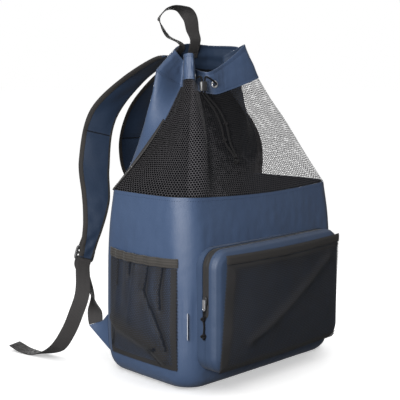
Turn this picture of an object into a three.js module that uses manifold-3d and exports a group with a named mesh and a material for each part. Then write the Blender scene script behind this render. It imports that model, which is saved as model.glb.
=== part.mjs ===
// Swim backpack: a coated-cloth body with pockets, a net upper drawn in to a drawcord collar, and padded straps.
// Millimetres, +Z up. The front pocket faces -Y and the origin is the middle of the base, on the floor.
import * as THREE from "three";
import { mergeVertices } from "three/addons/utils/BufferGeometryUtils.js";
import Module from "manifold-3d";

const wasm = await Module();
wasm.setup();

// Wall thicknesses and the clearance kept between neighbouring pieces
const CLOTH = 1.6;
const NET = 1.2;
const COLLAR_CLOTH = 2.4;
const BAND = 2.2;
const TAPE = 1;
const WEBBING = 1.8;
const SEAM = 0.4;

// Lower body: half sizes of its rounded section at each height, from the base to the rim
const CORNER = 34;
const PANEL_SWELL = 5;
const FRONT_RIM_SAG = 6;
const BASE_INSET = 1;
const BODY_ROWS = [0, 0.1, 0.22, 0.36, 0.5, 0.67, 0.83, 1];
const UPPER_ROWS = [0, 0.16, 0.33, 0.5, 0.67, 0.84, 1];
// Shares and rows at which pieces stop short of their seams
const PANEL_SEAM = 0.0016;
const RIM_SHARE = 0.997;
const NET_FOOT = 0.006;
const WING_SEAM = 0.012;
const COLLAR_FOOT = 0.012;
const WING_COLUMNS = [0, 0.009, 0.018, 0.045, 0.09, 0.15, 0.22, 0.3, 0.4, 0.5];
const BODY_SECTIONS = [
  { z: 0.8, halfWidth: 161, halfDepth: 83 },
  { z: 3, halfWidth: 170, halfDepth: 92 },
  { z: 12, halfWidth: 177, halfDepth: 99 },
  { z: 34, halfWidth: 182, halfDepth: 103 },
  { z: 160, halfWidth: 183, halfDepth: 104 },
  { z: 240, halfWidth: 181, halfDepth: 100.5 },
  { z: 300, halfWidth: 178.5, halfDepth: 91.5 },
];

// Folds of the drawn-in upper, round the mouth from the left wing's edge. rim is the place on the body's rim where
// the fold ends: 0 to 1 is the left side, 1 to 2 the front, 2 to 3 the right side and 3 to 4 the back. x, y and low
// are on the collar's lower edge, topX, topY and high on its top edge, and lean is how far the fold stands off a
// straight line between the rim and the collar.
const FOLDS = [
  { name: "left valley", rim: 0, x: -42, y: 57, low: 464, topX: -32, topY: 60, high: 506, leanX: -18, leanY: -34 },
  { name: "pleat left", rim: 0.96, x: -73, y: 14, low: 477, topX: -69, topY: 18, high: 517, leanX: 0, leanY: 0 },
  { name: "pleat right", rim: 1.04, x: -66, y: 3, low: 477, topX: -63, topY: 9, high: 518, leanX: 0, leanY: 0 },
  { name: "front valley", rim: 1.2, x: -34, y: 32, low: 460, topX: -30, topY: 36, high: 494, leanX: 0, leanY: 0 },
  { name: "eyelet fold", rim: 1.36, x: -12, y: 9, low: 452, topX: -24, topY: 14, high: 488, leanX: 0, leanY: 0 },
  { name: "front middle", rim: 1.64, x: 17, y: 4, low: 458, topX: 15, topY: 14, high: 502, leanX: 0, leanY: 0 },
  { name: "right peak", rim: 2, x: 90, y: 3, low: 480, topX: 65, topY: 13, high: 535, leanX: 0, leanY: 0 },
  { name: "right tuck", rim: 3, x: 42, y: 40, low: 470, topX: 44, topY: 42, high: 515, leanX: 12, leanY: -26 },
  { name: "right ridge", rim: 3.1, x: 104, y: 62, low: 486, topX: 92, topY: 52, high: 532, leanX: 12, leanY: -4 },
  { name: "back right", rim: 3.3, x: 56, y: 95, low: 494, topX: 58, topY: 86, high: 535, leanX: 0, leanY: 0 },
  { name: "back middle", rim: 3.5, x: 0, y: 98, low: 498, topX: 4, topY: 89, high: 537, leanX: 0, leanY: 0 },
  { name: "back left", rim: 3.7, x: -48, y: 93, low: 496, topX: -24, topY: 86, high: 530, leanX: 0, leanY: 0 },
  { name: "left ridge", rim: 3.9, x: -92, y: 60, low: 488, topX: -46, topY: 66, high: 522, leanX: 0, leanY: -4 },
];
const TUCK_ROW = 7;
// Tape along the wings of the back panel: distance from the wing's edge, width at the rim and at the tape's top
const BINDING = { from: 3, wide: 10, narrow: 4, top: 0.75 };
const BINDING_ROWS = [0.01, ...UPPER_ROWS.filter((up) => up > 0.01 && up < BINDING.top)];

// Eyelets in the collar: row along the folds and share of the collar's height
const EYELETS = [
  { side: "left", row: 2.4, up: 0.2 },
  { side: "right", row: 4.2, up: 0.42 },
];
const EYELET_HOLE = 3;
const EYELET_FLANGE = 6.2;
const EYELET_WALL = 0.9;

// Drawcord
const CORD_DIAMETER = 3.2;
const CORD_SIDES = 6;
const TOGGLE = { x: -45, y: 1, z: 465, length: 15, halfWidth: 7.5, halfDepth: 4.6, pitch: 6.4 };
const KNOT_RADIUS = 5;
const KNOT_PLACE = { row: 3.96, up: 0.3 };
// Places of the hanging strands on the net, with how far they stand off it
const CORD_HANG = [
  { row: 3.82, up: 0.8, lift: 6 },
  { row: 3.9, up: 0.66, lift: 1.5 },
  { row: 3.95, up: 0.5, lift: 0 },
  { row: 3.96, up: 0.4, lift: 1 },
];

// Webbing, straps and ladder locks
const WEBBING_WIDTH = 25;
const LOCK = { bar: 5, slot: 6, rail: 4.5, clear: 0.4, thick: 4, round: 9, rise: 6 };
const LOOP_REACH = 22;
const RUN_REACH = 9;
const PAD_END = 6;

// Grab handle: rows of the collar where its two legs are sewn inside, and the free arch between them. turn is the
// bearing of the webbing's width, in degrees from +X, and rise its tilt above the level.
const HANDLE_LEGS = { from: 0.45, to: 1.14 };
const HANDLE_LEFT = { row: 10.98, half: 0.46, sign: 1 };
const HANDLE_RIGHT = { row: 9.74, half: 0.25, sign: -1 };
const HANDLE_ARCH = [
  { x: -36, y: 96, z: 549, turn: 30, rise: 0 },
  { x: -46, y: 100, z: 564, turn: 40, rise: 0 },
  { x: -50, y: 102, z: 578, turn: 54, rise: 0 },
  { x: -39, y: 103, z: 590, turn: 72, rise: -22 },
  { x: -20, y: 103, z: 598, turn: 92, rise: -16 },
  { x: 2, y: 100, z: 596, turn: 120, rise: -2 },
  { x: 17, y: 97, z: 583, turn: 146, rise: 0 },
  { x: 22, y: 95, z: 560, turn: 164, rise: 0 },
];

// Shoulder straps from the collar seam to the ladder lock, width and thick along the pad
const STRAPS = {
  left: [
    { x: -28, y: 94.6, z: 515, width: 42, thick: 3, turn: 5 },
    { x: -31, y: 113, z: 511, width: 46, thick: 6, turn: 3 },
    { x: -46, y: 176, z: 475, width: 46, thick: 8.5, turn: -8 },
    { x: -77, y: 225, z: 410, width: 51, thick: 9, turn: -20 },
    { x: -102, y: 219, z: 326, width: 54, thick: 9, turn: -26 },
    { x: -125, y: 186, z: 268, width: 47, thick: 8.5, turn: -26 },
    { x: -143, y: 172, z: 226, width: 34, thick: PAD_END, turn: -24 },
    { x: -152, y: 171.6, z: 198, width: 27, thick: PAD_END, turn: -21 },
    { x: -160, y: 173, z: 171, width: 23, thick: PAD_END, turn: -20 },
  ],
  right: [
    { x: 28, y: 97.2, z: 513, width: 42, thick: 3, turn: -4 },
    { x: 29, y: 114, z: 511, width: 46, thick: 6, turn: -5 },
    { x: 32, y: 186, z: 474, width: 50, thick: 8.5, turn: -8 },
    { x: 31, y: 247, z: 418, width: 53, thick: 9, turn: -8 },
    { x: 30, y: 274, z: 350, width: 55, thick: 9, turn: -2 },
    { x: 46, y: 272, z: 290, width: 54, thick: 9, turn: 4 },
    { x: 110, y: 212, z: 248, width: 47, thick: 8.5, turn: 16 },
    { x: 143, y: 172, z: 226, width: 34, thick: PAD_END, turn: 20 },
    { x: 152, y: 171, z: 198, width: 27, thick: PAD_END, turn: 20 },
    { x: 160, y: 173, z: 171, width: 23, thick: PAD_END, turn: 20 },
  ],
};

// Free tail of the webbing below the ladder lock, on the left side; the right side mirrors it
const TAIL = [
  { x: 178, y: 158, z: 128, turn: -28, rise: 0 },
  { x: 187, y: 151, z: 110, turn: -36, rise: 0 },
  { x: 196, y: 154, z: 85, turn: -42, rise: 0 },
  { x: 204, y: 165, z: 53, turn: -44, rise: 0 },
  { x: 213, y: 187, z: 20, turn: -40, rise: 0 },
  { x: 221, y: 225, z: 2.8, turn: -30, rise: 0 },
  { x: 229, y: 257, z: 2.8, turn: -14, rise: 0 },
  { x: 234, y: 287, z: 10, turn: -6, rise: 0 },
];

// Anchor tab at the lower back corner
const TAB = { rootLow: 28, rootHigh: 88, thick: 1.8 };
const ANCHOR_RUN = [
  { x: 176, y: 127, z: 68, turn: -44, rise: 30 },
  { x: 163, y: 151, z: 106, turn: 48, rise: 0 },
];

// Side pockets: share of the side that the net covers, its heights and how far it stands off the panel
const SIDE_POCKET = { from: 0.13, to: 0.93, foot: 33, bandLow: 194, bandHigh: 208, belly: 20, mouth: 13 };
const GATHERS = 6;
const GATHER_DEPTH = 1.6;

// Front pocket: middle and half sizes of its outline, and rows of the face from the zip line inwards
const POCKET = { x: -7, z: 128, halfWidth: 155, halfHeight: 95, corner: 27, zipY: -122, lean: 7 };
const FACE_ROWS = [
  { inset: 0, y: -133 },
  { inset: 3, y: -140 },
  { inset: 10, y: -144 },
  { inset: 32, y: -146 },
  { inset: 66, y: -148 },
];
const FACE_MIDDLE_Y = -149;
const FACE_FACET = 0.5;
const ZIP = { from: 2.46, to: 4.54, slot: 9, tape: 14 };

// Slip pocket of net on the pocket's face
const SLIP = { leftTop: -142, leftFoot: -156, rightTop: 142, rightFoot: 134, foot: 42, hemLow: 203, hemHigh: 216 };
const SLIP_BELLY = 9;
const SLIP_MOUTH = 11;

// Zip slider, its tab and pull, on the left gusset
const SLIDER = { z: 147, width: 8, length: 14, thick: 3.6 };
const PULL_TAB = { width: 5.6, length: 17, thick: 1.3 };
const PULL_CORD = { diameter: 2.4, length: 36, knot: 2.6 };
const PULL_HANG = [
  { drop: 0, slide: 0 },
  { drop: 0.3, slide: 0.8 },
  { drop: 0.65, slide: -0.6 },
  { drop: 1, slide: 0.4 },
];

// Small label in the near corner seam
const LABEL = { low: 85, high: 125, root: -0.1, depth: 8, thick: 1 };

const COLOURS = {
  navy: { color: 0x2c3d5c, roughness: 0.75, metalness: 0 },
  net: { color: 0x14161a, roughness: 0.8, metalness: 0 },
  black: { color: 0x17171a, roughness: 0.7, metalness: 0 },
  plastic: { color: 0x121214, roughness: 0.45, metalness: 0 },
  steel: { color: 0xb8bcc2, roughness: 0.3, metalness: 1 },
};

const group = new THREE.Group();

function vec(x, y, z) {
  return new THREE.Vector3(x, y, z);
}

function mix(a, b, share) {
  return a + (b - a) * share;
}

function smooth(from, to, value) {
  return THREE.MathUtils.smoothstep(value, from, to);
}

function addPiece(name, geometry, finish) {
  const mesh = new THREE.Mesh(geometry, new THREE.MeshStandardMaterial(COLOURS[finish]));
  mesh.name = name;
  group.add(mesh);
  return mesh;
}

// A closed solid from corner points and triangles
function solidGeometry(points, triangles) {
  const geometry = new THREE.BufferGeometry().setFromPoints(points);
  geometry.setIndex(triangles);
  return geometry;
}

// Even places from 0 to 1
function evenly(count) {
  return Array.from({ length: count + 1 }, (_, i) => i / count);
}

// A wall on both sides of point(u, v), at given places u and v or at a number of even ones. Its outer face is du x dv.
// A closed wall joins its last place to its first.
function wall(point, columnPlaces, rowPlaces, thickness, closed = false) {
  const step = 1e-3;
  const us = Array.isArray(columnPlaces) ? columnPlaces : evenly(columnPlaces);
  const vs = Array.isArray(rowPlaces) ? rowPlaces : evenly(rowPlaces);
  const columns = us.length - 1;
  const rows = vs.length - 1;
  const across = closed ? columns : columns + 1;
  const points = [];
  for (const side of [0.5, -0.5]) {
    for (const v of vs) {
      for (const u of us.slice(0, across)) {
        const du = point(u + step, v).sub(point(u - step, v));
        const dv = point(u, v + step).sub(point(u, v - step));
        const thick = typeof thickness === "function" ? thickness(u, v) : thickness;
        points.push(point(u, v).addScaledVector(du.cross(dv).normalize(), side * thick));
      }
    }
  }
  const layer = across * (rows + 1);
  const at = (i, j, k) => (i % across) + j * across + k * layer;
  const triangles = [];
  const quad = (a, b, c, d) => triangles.push(a, b, c, a, c, d);
  for (let j = 0; j < rows; j++) {
    for (let i = 0; i < columns; i++) {
      quad(at(i, j, 0), at(i + 1, j, 0), at(i + 1, j + 1, 0), at(i, j + 1, 0));
      quad(at(i, j, 1), at(i, j + 1, 1), at(i + 1, j + 1, 1), at(i + 1, j, 1));
    }
  }
  for (let i = 0; i < columns; i++) {
    quad(at(i, 0, 0), at(i, 0, 1), at(i + 1, 0, 1), at(i + 1, 0, 0));
    quad(at(i, rows, 0), at(i + 1, rows, 0), at(i + 1, rows, 1), at(i, rows, 1));
  }
  if (!closed) {
    for (let j = 0; j < rows; j++) {
      quad(at(0, j, 0), at(0, j + 1, 0), at(0, j + 1, 1), at(0, j, 1));
      quad(at(columns, j, 0), at(columns, j, 1), at(columns, j + 1, 1), at(columns, j + 1, 0));
    }
  }
  return solidGeometry(points, triangles);
}

// Direction with a bearing from +X and a rise above the level, in degrees
function bearing(turn, rise = 0) {
  const across = THREE.MathUtils.degToRad(turn);
  const tilt = THREE.MathUtils.degToRad(rise);
  return vec(Math.cos(across) * Math.cos(tilt), Math.sin(across) * Math.cos(tilt), Math.sin(tilt));
}

// A ribbon along a table of rows with x, y, z, either across or turn, and optional width and thick
function ribbonRoute(rows, width) {
  const last = rows.length - 1;
  const centre = new THREE.CatmullRomCurve3(rows.map((row) => vec(row.x, row.y, row.z)));
  const sides = rows.map((row) => row.across ?? bearing(row.turn, row.rise));
  const between = (v) => {
    const place = THREE.MathUtils.clamp(v, 0, 1) * last;
    const i = Math.min(Math.floor(place), last - 1);
    return { i, share: place - i };
  };
  const value = (name, v) => {
    const { i, share } = between(v);
    return mix(rows[i][name], rows[i + 1][name], share);
  };
  const across = (v) => {
    const { i, share } = between(v);
    const along = centre.getTangent(THREE.MathUtils.clamp(v, 0, 1));
    const side = sides[i].clone().lerp(sides[i + 1], share);
    return side.addScaledVector(along, -side.dot(along)).normalize();
  };
  const widthAt = (v) => (width === undefined ? value("width", v) : width);
  const point = (u, v) => {
    const inside = THREE.MathUtils.clamp(v, 0, 1);
    const end = centre.getTangent(inside).multiplyScalar((v - inside) * centre.getLength());
    return centre.getPoint(inside).add(end).addScaledVector(across(v), (u - 0.5) * widthAt(v));
  };
  return { centre, across, value, point };
}

function ribbon(rows, steps, width, thickness) {
  return wall(ribbonRoute(rows, width).point, 1, steps, thickness);
}

// A round cord along points, with flat ends
function cord(points, diameter, steps) {
  const section = new THREE.Shape();
  for (let i = 0; i < CORD_SIDES; i++) {
    const angle = (2 * Math.PI * i) / CORD_SIDES;
    const x = (diameter / 2) * Math.cos(angle);
    const y = (diameter / 2) * Math.sin(angle);
    if (i === 0) section.moveTo(x, y);
    else section.lineTo(x, y);
  }
  section.closePath();
  const extrudePath = new THREE.CatmullRomCurve3(points);
  return new THREE.ExtrudeGeometry(section, { steps, extrudePath, bevelEnabled: false });
}

// Point on a rounded rectangle. place 0 to 1 runs down the -a side, 1 to 2 along -b, 2 to 3 up +a, 3 to 4 back.
function roundedRing(place, halfA, halfB, corner) {
  const turn = ((place % 4) + 4) % 4;
  const side = Math.floor(turn);
  const normals = [[-1, 0], [0, -1], [1, 0], [0, 1]];
  const travels = [[0, -1], [1, 0], [0, 1], [-1, 0]];
  const normal = normals[side];
  const travel = travels[side];
  const reach = side % 2 === 0 ? halfA : halfB;
  const half = side % 2 === 0 ? halfB : halfA;
  const straight = 2 * (half - corner);
  const bend = (Math.PI / 4) * corner;
  const distance = (turn - side) * (straight + 2 * bend);
  let out = reach;
  let along = distance - bend - straight / 2;
  if (distance < bend) {
    const angle = Math.PI / 4 - distance / corner;
    out = reach - corner + corner * Math.cos(angle);
    along = corner - half - corner * Math.sin(angle);
  } else if (distance > bend + straight) {
    const angle = (distance - bend - straight) / corner;
    out = reach - corner + corner * Math.cos(angle);
    along = half - corner + corner * Math.sin(angle);
  }
  return {
    a: normal[0] * out + travel[0] * along,
    b: normal[1] * out + travel[1] * along,
    normal,
    share: turn - side,
    side,
  };
}

const bodyProfile = new THREE.CatmullRomCurve3(
  BODY_SECTIONS.map((row) => vec(row.halfWidth, row.halfDepth, row.z)),
);

// Point of the lower body at a place round its rim, with up from 0 at the base to 1 at the rim
function bodyPoint(place, up) {
  const inside = THREE.MathUtils.clamp(up, 0, 1);
  const section = bodyProfile.getPoint(inside);
  section.addScaledVector(bodyProfile.getTangent(inside), (up - inside) * 100);
  const ring = roundedRing(place, section.x, section.y, CORNER);
  const middle = Math.sin(Math.PI * ring.share);
  const swell = PANEL_SWELL * middle * smooth(0, 0.6, up);
  const sag = ring.side === 1 ? FRONT_RIM_SAG * middle * up ** 8 : 0;
  return vec(ring.a + ring.normal[0] * swell, ring.b + ring.normal[1] * swell, section.z - sag);
}

// Share of the body's height at which its middle surface reaches z
function bodyUp(z) {
  let low = 0;
  let high = 1;
  for (let i = 0; i < 40; i++) {
    const middle = (low + high) / 2;
    if (bodyProfile.getPoint(middle).z < z) low = middle;
    else high = middle;
  }
  return low;
}

function bodyNormal(place, up) {
  const step = 1e-3;
  const along = bodyPoint(place + step, up).sub(bodyPoint(place - step, up));
  const rise = bodyPoint(place, up + step).sub(bodyPoint(place, up - step));
  return along.cross(rise).normalize();
}

// Place on the front side whose x is given, at a height
function frontPlace(x, up) {
  let low = 1;
  let high = 2;
  for (let i = 0; i < 40; i++) {
    const middle = (low + high) / 2;
    if (bodyPoint(middle, up).x < x) low = middle;
    else high = middle;
  }
  return low;
}

const foldCount = FOLDS.length;
const lowEdge = new THREE.CatmullRomCurve3(
  FOLDS.map((fold) => vec(fold.x, fold.y, fold.low)),
  true,
);
const topEdge = new THREE.CatmullRomCurve3(
  FOLDS.map((fold) => vec(fold.topX, fold.topY, fold.high)),
  true,
);
const foldLean = new THREE.CatmullRomCurve3(
  FOLDS.map((fold) => vec(fold.leanX, fold.leanY, 0)),
  true,
  "catmullrom",
  0.4,
);

function wrapRow(row) {
  return ((row % foldCount) + foldCount) % foldCount;
}

function foldRim(row) {
  const turn = wrapRow(row);
  const i = Math.floor(turn);
  const next = i + 1 < foldCount ? FOLDS[i + 1].rim : 4;
  return mix(FOLDS[i].rim, next, turn - i);
}

// Point of the upper on a row of the folds, with up from 0 at the rim to 1 at the collar
function upperPoint(row, up) {
  const share = wrapRow(row) / foldCount;
  const stand = Math.sin(Math.PI * THREE.MathUtils.clamp(up, 0, 1));
  const point = bodyPoint(foldRim(row), 1).lerp(lowEdge.getPoint(share), up);
  return point.addScaledVector(foldLean.getPoint(share), stand);
}

function upperNormal(row, up) {
  const step = 1e-3;
  const along = upperPoint(row + step, up).sub(upperPoint(row - step, up));
  const rise = upperPoint(row, up + step).sub(upperPoint(row, up - step));
  return along.cross(rise).normalize();
}

// Point lifted off the upper along its normal
function onUpper(row, up, lift) {
  return upperPoint(row, up).addScaledVector(upperNormal(row, up), lift);
}

// Point of the collar, with up from 0 at its seam to 1 at its top edge
function collarPoint(row, up) {
  const share = wrapRow(row) / foldCount;
  return lowEdge.getPoint(share).lerp(topEdge.getPoint(share), up);
}

function collarNormal(row, up) {
  const step = 1e-3;
  const along = collarPoint(row + step, up).sub(collarPoint(row - step, up));
  const rise = collarPoint(row, up + step).sub(collarPoint(row, up - step));
  return along.cross(rise).normalize();
}

// Manifold solids for the cut collar
function toManifold(geometry) {
  const bare = new THREE.BufferGeometry();
  bare.setAttribute("position", geometry.getAttribute("position"));
  if (geometry.index) bare.setIndex(geometry.index);
  const merged = mergeVertices(bare, 1e-4);
  return new wasm.Manifold(
    new wasm.Mesh({
      numProp: 3,
      vertProperties: new Float32Array(merged.getAttribute("position").array),
      triVerts: new Uint32Array(merged.index.array),
    }),
  );
}

function fromManifold(solid) {
  const mesh = solid.getMesh();
  const geometry = new THREE.BufferGeometry();
  geometry.setAttribute("position", new THREE.BufferAttribute(mesh.vertProperties, 3));
  geometry.setIndex(new THREE.BufferAttribute(mesh.triVerts, 1));
  return geometry;
}

// Turns a geometry whose axis is +Y to a direction and moves it to a place
function aim(geometry, place, direction) {
  const turn = new THREE.Quaternion().setFromUnitVectors(vec(0, 1, 0), direction);
  return geometry.applyQuaternion(turn).translate(place.x, place.y, place.z);
}

function makeBody() {
  const outline = new THREE.Shape();
  const foot = BODY_SECTIONS[0];
  const steps = 40;
  for (let i = 0; i < steps; i++) {
    const ring = roundedRing((4 * i) / steps, foot.halfWidth - BASE_INSET, foot.halfDepth - BASE_INSET, CORNER);
    if (i === 0) outline.moveTo(ring.a, ring.b);
    else outline.lineTo(ring.a, ring.b);
  }
  outline.closePath();
  addPiece("base_panel", new THREE.ExtrudeGeometry(outline, { depth: CLOTH, bevelEnabled: false }), "navy");
  const panels = [
    { name: "side_panel_left", side: 0, columns: 8 },
    { name: "front_panel", side: 1, columns: 12 },
    { name: "side_panel_right", side: 2, columns: 8 },
  ];
  for (const panel of panels) {
    const point = (u, v) => bodyPoint(panel.side + mix(PANEL_SEAM, 1 - PANEL_SEAM, u), v * RIM_SHARE);
    addPiece(panel.name, wall(point, panel.columns, BODY_ROWS, CLOTH), "navy");
  }
  const backPoint = (u, v) => {
    const row = mix(TUCK_ROW + WING_SEAM, foldCount - WING_SEAM, u);
    return v < 1 ? bodyPoint(foldRim(row), v) : upperPoint(row, v - 1);
  };
  const backColumns = [...WING_COLUMNS, ...WING_COLUMNS.slice(0, -1).reverse().map((u) => 1 - u)];
  const backRows = [...BODY_ROWS, ...UPPER_ROWS.slice(1).map((v) => 1 + RIM_SHARE * v)];
  addPiece("back_panel", wall(backPoint, backColumns, backRows, CLOTH), "navy");
}

function makeUpper() {
  const point = (u, v) => upperPoint(mix(WING_SEAM, TUCK_ROW - WING_SEAM, u), mix(NET_FOOT, RIM_SHARE, v));
  addPiece("net_upper", wall(point, 42, UPPER_ROWS, NET), "net");
  const edges = [
    { side: "left", row: foldCount, inward: -1 },
    { side: "right", row: TUCK_ROW, inward: 1 },
  ];
  for (const edge of edges) {
    const bind = (u, up) => {
      const step = 0.1;
      const speed = upperPoint(edge.row + edge.inward * step, up).distanceTo(upperPoint(edge.row, up)) / step;
      const width = mix(BINDING.wide, BINDING.narrow, up / BINDING.top);
      const inset = BINDING.from + width * (edge.inward > 0 ? u : 1 - u);
      return onUpper(edge.row + (edge.inward * inset) / speed, up, CLOTH / 2 + 3.3 * SEAM + TAPE / 2);
    };
    addPiece("binding_" + edge.side, wall(bind, 3, BINDING_ROWS, TAPE), "black");
  }
}

function makeCollar() {
  const band = (u, v) => collarPoint(u * foldCount, mix(COLLAR_FOOT, 1, v));
  let casing = toManifold(wall(band, 4 * foldCount, 2, COLLAR_CLOTH, true));
  const hole = EYELET_HOLE + EYELET_WALL + SEAM;
  for (const eyelet of EYELETS) {
    const place = collarPoint(eyelet.row, eyelet.up);
    const normal = collarNormal(eyelet.row, eyelet.up);
    const cutter = aim(new THREE.CylinderGeometry(hole, hole, 8 * COLLAR_CLOTH, 16), place, normal);
    casing = casing.subtract(toManifold(cutter));
    const front = COLLAR_CLOTH / 2 + SEAM;
    const profile = [
      [EYELET_HOLE, -front],
      [EYELET_HOLE + EYELET_WALL, -front],
      [EYELET_HOLE + EYELET_WALL, front],
      [EYELET_FLANGE, front],
      [EYELET_FLANGE - 0.5, front + EYELET_WALL],
      [EYELET_HOLE + 0.5, front + EYELET_WALL],
      [EYELET_HOLE, front],
      [EYELET_HOLE, -front],
    ].map(([radius, height]) => new THREE.Vector2(radius, height));
    addPiece("eyelet_" + eyelet.side, aim(new THREE.LatheGeometry(profile, 12), place, normal), "steel");
  }
  addPiece("collar", fromManifold(casing), "navy");
}

function makeDrawcord() {
  const middle = vec(TOGGLE.x, TOGGLE.y, TOGGLE.z);
  const knot = onUpper(KNOT_PLACE.row, KNOT_PLACE.up, NET / 2 + SEAM + KNOT_RADIUS);
  const rest = NET / 2 + SEAM + CORD_DIAMETER / 2;
  const sides = { left: -1, right: 1 };
  for (const eyelet of EYELETS) {
    const sign = sides[eyelet.side];
    const mouth = collarPoint(eyelet.row, eyelet.up);
    const normal = collarNormal(eyelet.row, eyelet.up);
    const drop = EYELET_HOLE - CORD_DIAMETER / 2 - SEAM;
    const beside = vec((sign * TOGGLE.pitch) / 2, 0, 0);
    const hang = CORD_HANG.map((row) => onUpper(row.row, row.up, rest + row.lift).addScaledVector(beside, 0.75));
    const threaded = [9, 0, -9].map((rise) => middle.clone().add(beside).add(vec(0, 0, rise)));
    const points = [
      mouth.clone().addScaledVector(normal, -4).add(vec(0, 0, -drop)),
      mouth.clone().addScaledVector(normal, 4).add(vec(0, 0, -drop)),
      mouth.clone().addScaledVector(normal, 9).add(vec(-2 * sign, 0, 1)),
      threaded[0].clone().add(vec(sign * 2, 0, 6)),
      ...threaded,
      ...hang,
      knot.clone().add(vec(2.1 * sign, 1, KNOT_RADIUS + 2 * SEAM)),
    ];
    addPiece("drawcord_" + eyelet.side, cord(points, CORD_DIAMETER, 24), "black");
  }
  const bean = new THREE.Shape();
  bean.absellipse(0, 0, TOGGLE.halfWidth, TOGGLE.halfDepth, 0, 2 * Math.PI, false, 0);
  for (const sign of Object.values(sides)) {
    const hole = new THREE.Path();
    hole.absarc((sign * TOGGLE.pitch) / 2, 0, CORD_DIAMETER / 2 + 1.5 * SEAM, 0, 2 * Math.PI, true);
    bean.holes.push(hole);
  }
  const toggle = new THREE.ExtrudeGeometry(bean, { depth: TOGGLE.length, bevelEnabled: false, curveSegments: 7 });
  toggle.translate(middle.x, middle.y, middle.z - TOGGLE.length / 2);
  addPiece("cord_toggle", toggle, "plastic");
  const bead = new THREE.SphereGeometry(KNOT_RADIUS, 12, 8).translate(knot.x, knot.y, knot.z);
  addPiece("drawcord_knot", bead, "black");
}

function makeHandle() {
  const inside = COLLAR_CLOTH / 2 + 3 * SEAM + WEBBING / 2;
  const sewn = (leg, up) => {
    const before = collarPoint(leg.row - leg.half, up);
    const after = collarPoint(leg.row + leg.half, up);
    const point = before.clone().lerp(after, 0.5).addScaledVector(collarNormal(leg.row, up), -inside);
    const across = before.sub(after).setZ(0).normalize().multiplyScalar(leg.sign);
    return { x: point.x, y: point.y, z: point.z, across };
  };
  const { from, to } = HANDLE_LEGS;
  const left = [from, to].map((up) => sewn(HANDLE_LEFT, up));
  const right = [to, from].map((up) => sewn(HANDLE_RIGHT, up));
  const rows = [...left, ...HANDLE_ARCH, ...right];
  addPiece("grab_handle", ribbon(rows, 34, WEBBING_WIDTH, WEBBING), "black");
}

// How far webbing that turns round a bar of a ladder lock runs from the bar's middle
const barReach = Math.hypot(LOCK.bar, LOCK.thick) / 2 + 2.5 * SEAM + WEBBING / 2;

// Frame of a ladder lock behind the end of a pad: up the strap, across it and out from the wearer
function lockFrame(route) {
  const up = route.centre.getTangent(1).negate();
  const across = route.across(1);
  const out = up.clone().cross(across);
  const stand = PAD_END / 2 + 2 * SEAM + WEBBING / 2 + barReach;
  const middle = route.centre.getPoint(1).addScaledVector(up, LOCK.rise).addScaledVector(out, stand);
  return { up, across, out, middle };
}

// Points round a bar of the lock, from the inner side to the outer side, over it or under it
function aroundBar(frame, bar, over) {
  const points = [];
  for (let i = 0; i <= 4; i++) {
    const angle = (Math.PI * i) / 4;
    const rise = bar + over * barReach * Math.sin(angle);
    points.push(
      frame.middle
        .clone()
        .addScaledVector(frame.out, -barReach * Math.cos(angle))
        .addScaledVector(frame.up, rise),
    );
  }
  return points;
}

function asRows(points, across) {
  return points.map((point) => ({ x: point.x, y: point.y, z: point.z, across }));
}

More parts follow.
